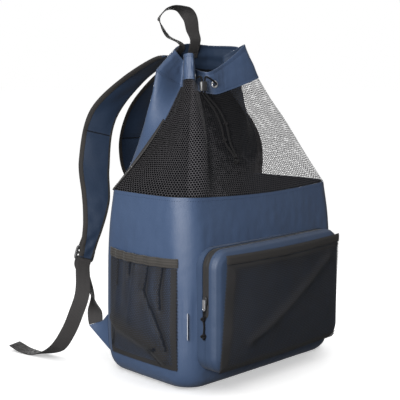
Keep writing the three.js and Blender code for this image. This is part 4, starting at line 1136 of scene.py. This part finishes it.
# Webbing
def ribbon(points, sides, width):
    """A ribbon along points whose width lies along sides. Its width is one number or one for each point."""
    points = np.array(points, float)
    sides = unit(np.array(sides, float))
    last = len(points) - 1
    centre = spline(points)
    length = arc_lengths(centre(np.linspace(0, 1, 400)))[-1]
    widths = np.broadcast_to(np.asarray(width, float), (last + 1,))

    def across(v):
        place = np.clip(v, 0, 1) * last
        i = np.minimum(np.floor(place).astype(int), last - 1)
        side = mix(sides[i], sides[i + 1], (place - i)[..., None])
        along = tangent(centre, np.clip(v, 0, 1))
        return unit(side - along * dot(side, along))

    def point(u, v):
        u, v = paired(u, v)
        inside = np.clip(v, 0, 1)
        past = tangent(centre, inside) * ((v - inside) * length)[..., None]
        wide = np.interp(inside * last, np.arange(last + 1), widths)
        return centre(inside) + past + across(v) * ((u - 0.5) * wide)[..., None]

    return centre, across, point, length


def webbing_piece(name, node, points, sides, steps):
    point, length = ribbon(points, sides, WEBBING_WIDTH)[2:]
    thick = lambda u, v: WEBBING * (0.72 + 0.28 * np.clip(np.minimum(u, 1 - u) * 12, 0, 1))
    columns = np.array([0, 0.03, 0.08, 0.2, 0.35, 0.5, 0.65, 0.8, 0.92, 0.97, 1])
    piece = shell(name, point, columns, steps, thick, [webbing])
    place_piece(piece, "black_webbing", node)
    return point, length


def bar_tack(thread, point, v, half, length, lift, count=3):
    """Rows of close stitches across a ribbon."""
    for k in range(count):
        rows = np.full(30, v + (k - (count - 1) / 2) * 1.6 / length)
        stitch_on(thread, point, np.linspace(0.5 - half, 0.5 + half, 30), rows, lift, pitch=2.2, length=1.9)


def make_handle():
    inside = COLLAR_CLOTH / 2 + 3 * SEAM + WEBBING / 2

    def sewn(leg, up):
        row, half, sign = leg
        before = collar_point(row - half, up)
        after = collar_point(row + half, up)
        place = (before + after) / 2 - normal_of(collar_point, row, up) * inside
        across = (before - after) * np.array([1, 1, 0]) * sign
        return place, across

    rows = [sewn(HANDLE_LEFT, up) for up in HANDLE_LEGS]
    rows += [(np.array(row[:3], float), bearing(row[3], row[4])) for row in HANDLE_ARCH]
    rows += [sewn(HANDLE_RIGHT, up) for up in HANDLE_LEGS[::-1]]
    places, sides = zip(*rows)
    sides = [unit(side) for side in sides]
    point, length = webbing_piece(
        "grab_handle_webbing", "grab_handle", places, sides, 170,
    )
    for v in (0.035, 0.965):
        bar_tack("black", point, v, 0.4, length, WEBBING / 2 + STITCH_LIFT)
        bar_tack("black", point, v, 0.4, length, -WEBBING / 2 - STITCH_LIFT)


BAR_REACH = math.hypot(LOCK["bar"], LOCK["thick"]) / 2 + 2.5 * SEAM + WEBBING / 2


def bind_strap(side, sign, rows, ribbon_parts, thick, relief):
    centre, across, point = ribbon_parts[:3]
    last = len(rows) - 1
    # Tape folded round both edges of the pad, from face to face: shares of its reach and of the pad's height
    half_fold = [(1.0, 1.0), (0.6, 1.0), (0.25, 1.0), (-0.15, 0.75)]
    folds = [*half_fold, (-0.25, 0.0), *[(part, -height) for part, height in half_fold[::-1]]]
    steps = STRAP_TAPE["steps"]
    stations = np.linspace(0.03, 0.995, steps)
    for edge, outward in ((0.0, -1), (1.0, 1)):
        lines = []
        reach = STRAP_TAPE["outer"] if outward == sign else STRAP_TAPE["inner"]
        base = point(edge, stations)
        wide = np.interp(stations * last, np.arange(last + 1), rows[:, 3])
        out = across(stations) * outward
        normal = unit(np.cross(across(stations), tangent(centre, stations)))
        for part, height in folds:
            inset = part * reach
            share = np.clip(inset / wide, 0, 1)
            half = thick(share, stations) / 2 + STRAP_TAPE["lift"]
            shift = relief(share if edge == 0 else 1 - share, stations)
            lines.append(base - out * inset + normal * (half * height + shift)[:, None])
        grid = np.stack(lines, axis=1)
        count = len(folds)
        index = np.arange(steps * count).reshape(steps, count)
        a, b, c, d = index[:-1, :-1], index[1:, :-1], index[1:, 1:], index[:-1, 1:]
        quads = np.stack([a, b, c, d] if outward > 0 else [a, d, c, b], axis=-1).reshape(-1, 4)
        span = np.cumsum([0, 1.2, 1.3, 1.9, 3.2, 3.2, 1.9, 1.3, 1.2])
        uv = np.stack(np.meshgrid(span, arc_lengths(base)), axis=-1).reshape(-1, 2)
        name = "strap_binding_" + side + ("_inner" if outward < 0 else "_outer")
        tape = make_object(name, grid.reshape(-1, 3), quads.tolist(), uv, [tape_cloth], sharp=60)
        place_piece(tape, "black_webbing")
        for k in (0, count - 1):
            face = 1 if k == 0 else -1
            stitch("black", grid[:, k] + out * 0.9 + normal * (0.15 * face), normal * face)


def cross_strap(ribbon_parts, thick, relief):
    """The seam across the pad, on both of its faces, drawn as a wide band of near-black stitches that is
    also painted shade along its crease.
    """
    centre, across, point = ribbon_parts[:3]
    us = np.linspace(0.06, 0.94, 60)
    here = np.full(60, STRAP_SEAM)
    normal = unit(np.cross(across(here), tangent(centre, here)))
    for face in (1, -1):
        lift = face * (thick(us, here) / 2 + STITCH_LIFT)
        line = point(us, here) + normal * (lift + relief(us, here))[:, None]
        stitch("dark", line, normal * face, pitch=2.4, length=3.4, half=1.7)


def make_lock(side, wide, up, middle):
    half_width = WEBBING_WIDTH / 2 + LOCK["clear"] + LOCK["rail"]
    half_height = 1.5 * LOCK["bar"] + LOCK["slot"]
    outline = []
    for k in range(48):
        angle = 2 * math.pi * k / 48
        c, s = math.cos(angle), math.sin(angle)
        x = half_width * math.copysign(abs(c) ** LOCK_SQUARENESS, c)
        outline.append((x, half_height * math.copysign(abs(s) ** LOCK_SQUARENESS, s)))
    outlines = [outline]
    for level in (-1, 1):
        height = level * (LOCK["bar"] + LOCK["slot"]) / 2
        reach = WEBBING_WIDTH / 2 + LOCK["clear"]
        half = LOCK["slot"] / 2
        low, high = height - half, height + half
        outlines.append([(-reach, low), (-reach, high), (reach, high), (reach, low)])
    basis = (wide, up, np.cross(wide, up))
    lock = plate("ladder_lock_frame_" + side, outlines, LOCK["thick"], 0.9, basis, middle, plastic)
    place_piece(lock, "black_plastic", "ladder_lock_" + side)


def make_tab(side, route, tail_point):
    place = 0.0 if side == "left" else 3.0
    clearance = tangent(spline(route), np.array(0.0)) * (-2.2 * SEAM)

    def tab_point(u, v):
        u, v = paired(u, v)
        height = body_up(mix(TAB["root_low"], TAB["root_high"], u))
        root = body_point(place, height) + normal_of(body_point, place, height) * (CLOTH / 2 + 2 * SEAM)
        tip = tail_point(u if side == "left" else 1 - u, 0 * u) + clearance
        return mix(root, tip, v[..., None])

    tab = shell("anchor_tab_cloth_" + side, tab_point, 15, 15, TAB["thick"], [navy])
    place_piece(tab, "navy_cloth", "anchor_tab_" + side)
    for face in (1, -1):
        line = np.linspace(0.08, 0.92, 30)
        lift = face * (TAB["thick"] / 2 + STITCH_LIFT)
        for u in (0.1, 0.9):
            stitch_on("navy", tab_point, u, line, lift)
        stitch_on("navy", tab_point, line, 0.9, lift)


def make_strap(side):
    sign = -1 if side == "left" else 1
    rows = np.array(STRAPS[side], float)
    sides = [bearing(turn) for turn in rows[:, 5]]
    ribbon_parts = ribbon(rows[:, :3], sides, rows[:, 3])
    centre, across, point, length = ribbon_parts
    last = len(rows) - 1

    def thick(u, v):
        full = np.interp(np.clip(v, 0, 1) * last, np.arange(last + 1), rows[:, 4])
        crown = np.sqrt(np.clip(np.sin(math.pi * np.clip(u, 0, 1)), 0, None))
        padded = mix(3, full, np.where(v > 0.85, np.maximum(crown, smooth(0.8, 0.9, v) * 0.8), crown))
        pinch = bump(STRAP_SEAM, 0.011, v) * smooth(0, 0.06, np.minimum(u, 1 - u))
        return padded * (1 - 0.7 * pinch)

    uneven = ripples(21 if side == "left" else 22, 45)

    def relief(u, v):
        inside = smooth(0, 0.2, np.minimum(u, 1 - u)) * smooth(0.04, 0.2, v)
        return 0.5 * uneven(u * 60, v * length) * inside

    columns = np.unique(np.concatenate([np.linspace(0, 1, 17), [0.015, 0.04, 0.96, 0.985]]))
    pad = shell("strap_pad_cloth_" + side, point, columns, 190, thick, [navy_pad], relief)
    place_piece(pad, "navy_cloth", "strap_pad_" + side)

    bind_strap(side, sign, rows, ribbon_parts, thick, relief)
    cross_strap(ribbon_parts, thick, relief)

    up = -tangent(centre, np.array(1.0))
    wide = across(np.array(1.0))
    out = np.cross(up, wide)
    stand = PAD_END / 2 + 2 * SEAM + WEBBING / 2 + BAR_REACH
    middle = centre(np.array(1.0)) + up * LOCK["rise"] + out * stand
    make_lock(side, wide, up, middle)

    def around_bar(bar, over):
        points = []
        for k in range(5):
            angle = math.pi * k / 4
            rise = bar + over * BAR_REACH * math.sin(angle)
            points.append(middle - out * (BAR_REACH * math.cos(angle)) + up * rise)
        return points

    pitch = LOCK["bar"] + LOCK["slot"]
    loop = around_bar(pitch, -1)
    sewn = loop[0] + up * LOOP_REACH
    plies = [sewn, *loop, sewn + out * (WEBBING + 2 * SEAM)]
    sides = [wide] * len(plies)
    loop_point, loop_length = webbing_piece(
        "strap_loop_webbing_" + side, "strap_loop_" + side, plies, sides, 90,
    )
    bar_tack("black", loop_point, 0.86, 0.4, loop_length, WEBBING / 2 + STITCH_LIFT, 4)

    bend = around_bar(-pitch, 1)
    inner = bend[0] - up * RUN_REACH
    outer = bend[-1] - up * RUN_REACH

    def mirrored(row):
        x, y, z, turn, rise = row
        return np.array([sign * x, y, z], float), bearing(-sign * turn, -sign * rise)

    route = [mirrored(row) for row in ANCHOR_RUN]
    route += [(place, wide) for place in (outer, *bend[::-1], inner)]
    route += [mirrored(row) for row in TAIL]
    places, sides = zip(*route)
    tail_point, tail_length = webbing_piece(
        "strap_webbing_run_" + side, "strap_webbing_" + side, places, sides, 260,
    )
    bar_tack("black", tail_point, 0.985, 0.42, tail_length, WEBBING / 2 + STITCH_LIFT, 2)

    make_tab(side, places, tail_point)


# Pockets
# Folds of the side pockets' net, as places across and up its width and height
POCKET_VALLEYS = [
    [(0.17, 1), (0.167, 0.75)], [(0.42, 1), (0.41, 0.88)], [(0.85, 0.99), (0.81, 0.77), (0.83, 0.6)],
    [(0.667, 0.99), (0.625, 0.75), (0.75, 0.56), (0.85, 0.35), (0.885, 0.2)],
    [(0.02, 0.37), (0.14, 0.3), (0.02, 0.08)], [(0.77, 0.2), (0.65, 0.16), (0.78, 0.04)],
]
POCKET_RIDGES = [
    [(0.52, 0.92), (0.48, 0.48)],
    [(0.1, 0.36), (0.22, 0.36), (0.47, 0.31), (0.72, 0.21), (0.83, 0.1)],
]


def crease(u, v, line, half, flat=POCKET_FLAT):
    """A hump of height 1 along a line on a piece of that flat size, with its half width in millimetres."""
    size = np.array(flat)
    place = np.stack([u, v], axis=-1) * size
    line = np.array(line) * size
    nearest = np.full(np.shape(u), np.inf)
    for start, end in zip(line[:-1], line[1:]):
        along = end - start
        share = np.clip(dot(place - start, along) / np.dot(along, along), 0, 1)
        nearest = np.minimum(nearest, np.linalg.norm(place - start - along * share, axis=-1))
    return np.exp(-((nearest / half) ** 2))


def creases(u, v, lines, half):
    return sum(crease(u, v, line, half) for line in lines)


def rolled(u, v, least):
    """Thickness of a band that thins towards its edges."""
    return BAND * (least + (1 - least) * np.sqrt(np.clip(np.sin(math.pi * np.clip(v, 0.02, 0.98)), 0, 1)))


def make_side_pockets():
    wide, tall = POCKET_FLAT
    for side in ("left", "right"):
        turn = (lambda u: u) if side == "left" else (lambda u: 1 - u)
        foot, top = SIDE_POCKET["foot"], SIDE_POCKET["band_low"] - SEAM

        def net_point(u, v, side=side, turn=turn):
            return side_pocket_point(side, turn(u), mix(foot, top, v))

        def relief(u, v):
            inside = smooth(0, 0.1, np.minimum(u, 1 - u)) * smooth(0, 0.08, v)
            valleys = creases(u, v, POCKET_VALLEYS, CREASES["valley"])
            ridges = creases(u, v, POCKET_RIDGES, CREASES["ridge"])
            depth = CREASE_DEPTH * smooth(0.1, 0.4, v)
            return inside * (-depth * np.minimum(valleys, 1) + CREASE_HEIGHT * np.minimum(ridges, 1))

        def opened(u, v):
            sides = np.minimum(u * wide - POCKET_HEM["left"], (1 - u) * wide - POCKET_HEM["right"])
            hem = np.minimum(sides, v * tall - POCKET_HEM["foot"])
            folds = creases(u, v, POCKET_VALLEYS, CREASES["closed_valley"])
            folds = folds + creases(u, v, POCKET_RIDGES[1:], CREASES["closed_ridge"])
            streaks = 0.14 * np.sin(2 * math.pi * (4.2 * u + 0.35 * v)) * smooth(0.2, 0.75, v)
            share = mix(HEM_OPEN, POCKET_OPEN + streaks, smooth(-1.5, 1.5, hem))
            return np.maximum(share * (1 - 0.8 * np.minimum(folds, 1)), HEM_OPEN)

        # Cells along the valleys take the near-black lining colour, painted shade in the folds
        def look(u, v):
            return creases(u, v, POCKET_VALLEYS, CREASES["dark"]) > 0.5

        looks = [net_pocket, lining_and_painted_shade]
        name = "side_pocket_mesh_" + side
        net = net_mesh(name, net_point, *POCKET_NET, POCKET_PITCH, opened, looks, relief, look)
        place_piece(net, "black_net", "side_pocket_" + side)

        def band_point(u, v, side=side, turn=turn):
            z = mix(SIDE_POCKET["band_low"], SIDE_POCKET["band_high"], v)
            return side_pocket_point(side, turn(u), z)

        thick = lambda u, v: rolled(u, v, 0.55)
        band = shell("side_pocket_elastic_" + side, band_point, 110, 9, thick, [elastic])
        place_piece(band, "black_webbing", "side_pocket_band_" + side)
        us = np.linspace(0.01, 0.99, 120)
        stitch_on("black", band_point, us, 0.2, **BAND_STITCH)


# Diagonal fold of the slip pocket's net
SLIP_FOLD = [(0.85, 0.88), (0.6, 0.64), (0.4, 0.44), (0.2, 0.26)]


def make_gusset():
    def gusset(u, v):
        u, v = paired(u, v)
        place = 4 * u
        x, z = pocket_outline(place, 0)
        up = body_up(z)
        panel = body_point(front_place(x, up), up)[..., 1] - CLOTH / 2 - SEAM - 0.3
        edge = POCKET["zip_y"] + pocket_lean(x) + zip_half_slot(place)
        return np.stack([x, mix(panel, edge, v), z], axis=-1)

    piece = shell("pocket_gusset_cloth", gusset, 241, 9, CLOTH, [navy_pocket_shaded, lining_and_painted_shade], closed=True)
    place_piece(piece, "navy_cloth", "pocket_gusset")
    around = np.linspace(0, 1, 400)
    stitch_on("navy", gusset, around, 0.88, CLOTH / 2 + 0.08)
    stitch_on("navy", gusset, around, 0.12, CLOTH / 2 + 0.08)


def make_pocket_face():
    uneven = ripples(31, 60)
    # Profile of the face from the zip's edge to the last ring
    insets = np.array([0, *FACE_INSETS], float)
    steps = arc_lengths(np.stack([insets, [POCKET["zip_y"] - ZIP["slot"] / 2, *FACE_YS]], axis=-1))
    share_end = 0.75

    def face(u, v):
        u, v = paired(u, v)
        place = 4 * u
        along = np.clip(v / share_end, 0, 1) * steps[-1]
        inset = np.interp(along, steps, insets)
        x, z = pocket_outline(place, inset)
        edge = POCKET["zip_y"] - zip_half_slot(place)
        first = steps[1]
        depth = np.interp(along, steps[1:], FACE_YS)
        y = np.where(along < first, mix(edge, FACE_YS[0], along / first), depth) + pocket_lean(x)
        point = np.stack([x, y, z], axis=-1)
        middle = np.array([POCKET["x"], FACE_MIDDLE_Y + pocket_lean(POCKET["x"]), POCKET["z"]])
        inward = np.clip((v - share_end) / (1 - share_end), 0, 0.98)
        return mix(point, middle, inward[..., None])

    def face_relief(u, v):
        place = face(u, v)
        return 0.7 * uneven(place[..., 0], place[..., 2]) * smooth(0.2, 0.5, v)

    rows = np.concatenate([np.linspace(0, 0.2, 14), np.linspace(0.23, 1, 26)])
    cloths = [navy_pocket_shaded, lining_and_painted_shade]
    piece = shell("pocket_face_cloth", face, 241, rows, CLOTH, cloths, face_relief, closed=True)
    place_piece(piece, "navy_cloth", "pocket_face")
    stitch_on("navy", face, np.linspace(0, 1, 400), 0.045, CLOTH / 2 + STITCH_LIFT)


def make_zip():
    def tape(u, v):
        u, v = paired(u, v)
        x, z = pocket_outline(mix(ZIP["from"], ZIP["to"], u), CLOTH / 2 + SEAM + TAPE / 2)
        y = POCKET["zip_y"] + pocket_lean(x) + mix(ZIP["tape"] / 2, -ZIP["tape"] / 2, v)
        return np.stack([x, y, z], axis=-1)

    piece = shell("zip_tape_cloth", tape, 220, 9, TAPE, [tape_cloth])
    place_piece(piece, "black_webbing", "zip_tape")

    # Coils of the zip, in two rows that meet along the tape's middle
    line = np.linspace(0.004, 0.996, 1200)
    path = tape(line, np.full(1200, 0.5))
    lengths = arc_lengths(path)
    places = np.interp(np.arange(0.8, lengths[-1], COIL["pitch"]), lengths, line)
    points, faces = [], []
    box = [
        (-1, -1, 0), (1, -1, 0), (1, 1, 0), (-1, 1, 0),
        (-0.7, -0.6, 1), (0.7, -0.6, 1), (0.7, 0.6, 1), (-0.7, 0.6, 1),
    ]
    sides = [(4, 5, 6, 7), (0, 1, 5, 4), (1, 2, 6, 5), (2, 3, 7, 6), (3, 0, 4, 7)]
    for place in places:
        for row in (-1, 1):
            here = place + row * 0.0008
            centre = tape(here, 0.5)
            out = normal_of(tape, here, 0.5)
            along = unit(tape(here + 1e-3, 0.5) - tape(here - 1e-3, 0.5))
            beside = np.cross(out, along)
            start = len(points)
            for a, b, c in box:
                across = row * COIL["apart"] + b * COIL["half_width"]
                rise = TAPE / 2 - 0.1 + c * COIL["height"]
                points.append(centre + along * (a * COIL["half_length"]) + beside * across + out * rise)
            faces += [tuple(start + k for k in face_rows) for face_rows in sides]
    coil = make_object("zip_coil", points, faces, None, [plastic], sharp=40)
    place_piece(coil, "black_plastic")


def make_slip_pocket():
    def net_point(u, v):
        return slip_point(u, mix(SLIP["foot"], SLIP["low"] - SEAM, v))

    sag = ripples(41, 80)
    wide, tall = SLIP_FLAT

    def fold(u, v):
        inside = smooth(0, 0.08, np.minimum(u, 1 - u)) * smooth(0, 0.12, v)
        return inside * (0.9 * sag(u * wide, v * tall) + 4 * crease(u, v, SLIP_FOLD, 9, SLIP_FLAT))

    def opened(u, v):
        ends = np.minimum(v * tall - SLIP_HEM["foot"], (1 - v) * tall - SLIP_HEM["top"])
        hem = np.minimum(u * wide - SLIP_HEM["left"], ends)
        share = mix(HEM_OPEN, POCKET_OPEN, smooth(-3, 3, hem))
        return share * (1 - 0.5 * crease(u, v, SLIP_FOLD, 8, SLIP_FLAT))

    net = net_mesh("front_net_mesh", net_point, *SLIP_NET, POCKET_PITCH, opened, [net_pocket], fold)
    place_piece(net, "black_net", "front_net")

    def hem_point(u, v):
        return slip_point(u, mix(SLIP["low"], SLIP["high"], v))

    thick = lambda u, v: rolled(u, v, 0.6)
    hem = shell("front_net_hem_tape", hem_point, 120, 9, thick, [tape_cloth])
    place_piece(hem, "black_webbing", "front_net_hem")
    us = np.linspace(0.01, 0.99, 160)
    stitch_on("black", hem_point, us, 0.16, **BAND_STITCH)


def make_label():
    def point(u, v):
        u, v = paired(u, v)
        up = body_up(mix(LABEL["low"], LABEL["high"], v))
        lift = LABEL["root"] + u * LABEL["depth"]
        return body_point(1.0, up) + normal_of(body_point, 1.0, up) * lift[..., None]

    piece = shell("side_label_cloth", point, 9, 21, LABEL["thick"], [label_cloth])
    place_piece(piece, "black_webbing", "side_label")


# Stage
# place, target, size in metres and watts of the two disk lights
LIGHTS = {
    "key": ((-1.5, -0.72, 0.78), (0, 0, 0.3), 1.0, 122),
    "back": ((1.7, 1.9, 0.7), (0, 0, 0.25), 1.2, 55),
}
TOP_LIGHT = {"energy": 2.3, "angle": 100}
AMBIENT = 0.25
FLOOR_HALF = 30
# soft pool of light on the floor: reach in metres, share of it that fades, glow far from the bag and near it
POOL = {"reach": 1.0, "fade": 0.5, "far": 0.13, "near": 0.48}


def add_light(name, place, target, size, energy):
    data = bpy.data.lights.new(name, "AREA")
    data.shape = "DISK"
    data.size = size
    data.energy = energy
    light = add_object(name, data)
    light.location = place
    look_along(light, Vector(target) - Vector(place))
    return light


def make_world():
    bpy.context.scene.view_settings.view_transform = "Standard"
    world = bpy.data.worlds.new("studio")
    bpy.context.scene.world = world
    world.use_nodes = True
    tree = world.node_tree
    background = tree.nodes["Background"]
    background.inputs["Color"].default_value = (1, 1, 1, 1)
    background.inputs["Strength"].default_value = AMBIENT
    bright = add_node(tree, "ShaderNodeBackground", Strength=1.0)
    bright.inputs["Color"].default_value = (1, 1, 1, 1)
    ray = add_node(tree, "ShaderNodeLightPath")
    either = add_node(tree, "ShaderNodeMixShader")
    join(tree, ray, "Is Camera Ray", either, 0)
    join(tree, background, "Background", either, 1)
    join(tree, bright, "Background", either, 2)
    tree.links.new(either.outputs["Shader"], tree.nodes["World Output"].inputs["Surface"])


def make_lights():
    near_lights = [add_light(name, *row) for name, row in LIGHTS.items()]
    top = bpy.data.lights.new("top", "SUN")
    top.energy = TOP_LIGHT["energy"]
    top.angle = math.radians(TOP_LIGHT["angle"])
    add_object("top", top)
    return near_lights


def make_floor(near_lights):
    mesh = bpy.data.meshes.new("floor")
    corners = [(x * FLOOR_HALF, y * FLOOR_HALF, 0) for x, y in ((-1, -1), (1, -1), (1, 1), (-1, 1))]
    mesh.from_pydata(corners, [], [(0, 1, 2, 3)])
    floor = add_object("floor", mesh)
    floor.location = (0, 0, -0.0005)
    pale, tree, shader = shader_nodes("pale_floor", (0.93, 0.93, 0.93), 0.8)
    coord = add_node(tree, "ShaderNodeTexCoord")
    mapping = add_node(tree, "ShaderNodeMapping", Scale=[1 / POOL["reach"]] * 3)
    join(tree, coord, "Object", mapping, "Vector")
    pool = add_node(tree, "ShaderNodeTexGradient", gradient_type="SPHERICAL")
    join(tree, mapping, "Vector", pool, "Vector")
    glow = add_node(
        tree, "ShaderNodeMapRange", interpolation_type="SMOOTHSTEP",
        From_Max=POOL["fade"], To_Min=POOL["far"], To_Max=POOL["near"],
    )
    join(tree, pool, "Fac", glow, "Value")
    join(tree, glow, "Result", shader, "Emission Strength")
    mesh.materials.append(pale)
    floor.visible_diffuse = False
    floor.visible_glossy = False
    # The near lights would bleach the floor, so only the high light falls on it
    bleached = bpy.data.collections.new("bleached")
    bleached.objects.link(floor)
    bleached.collection_objects[0].light_linking.link_state = "EXCLUDE"
    for light in near_lights:
        light.light_linking.receiver_collection = bleached


make_camera()
make_drawcord()
make_zip_pull()
make_world()
make_floor(make_lights())
make_body()
make_upper()
make_collar()
make_eyelets()
make_toggle()
make_handle()
make_strap("left")
make_strap("right")
make_side_pockets()
make_gusset()
make_pocket_face()
make_zip()
make_slip_pocket()
make_label()
make_stitches("navy", thread_navy, "navy_cloth")
make_stitches("black", thread_black, "black_webbing")
# The strap pad's crease band in the near-black lining colour, painted shade
make_stitches("dark", lining_and_painted_shade, "black_webbing")
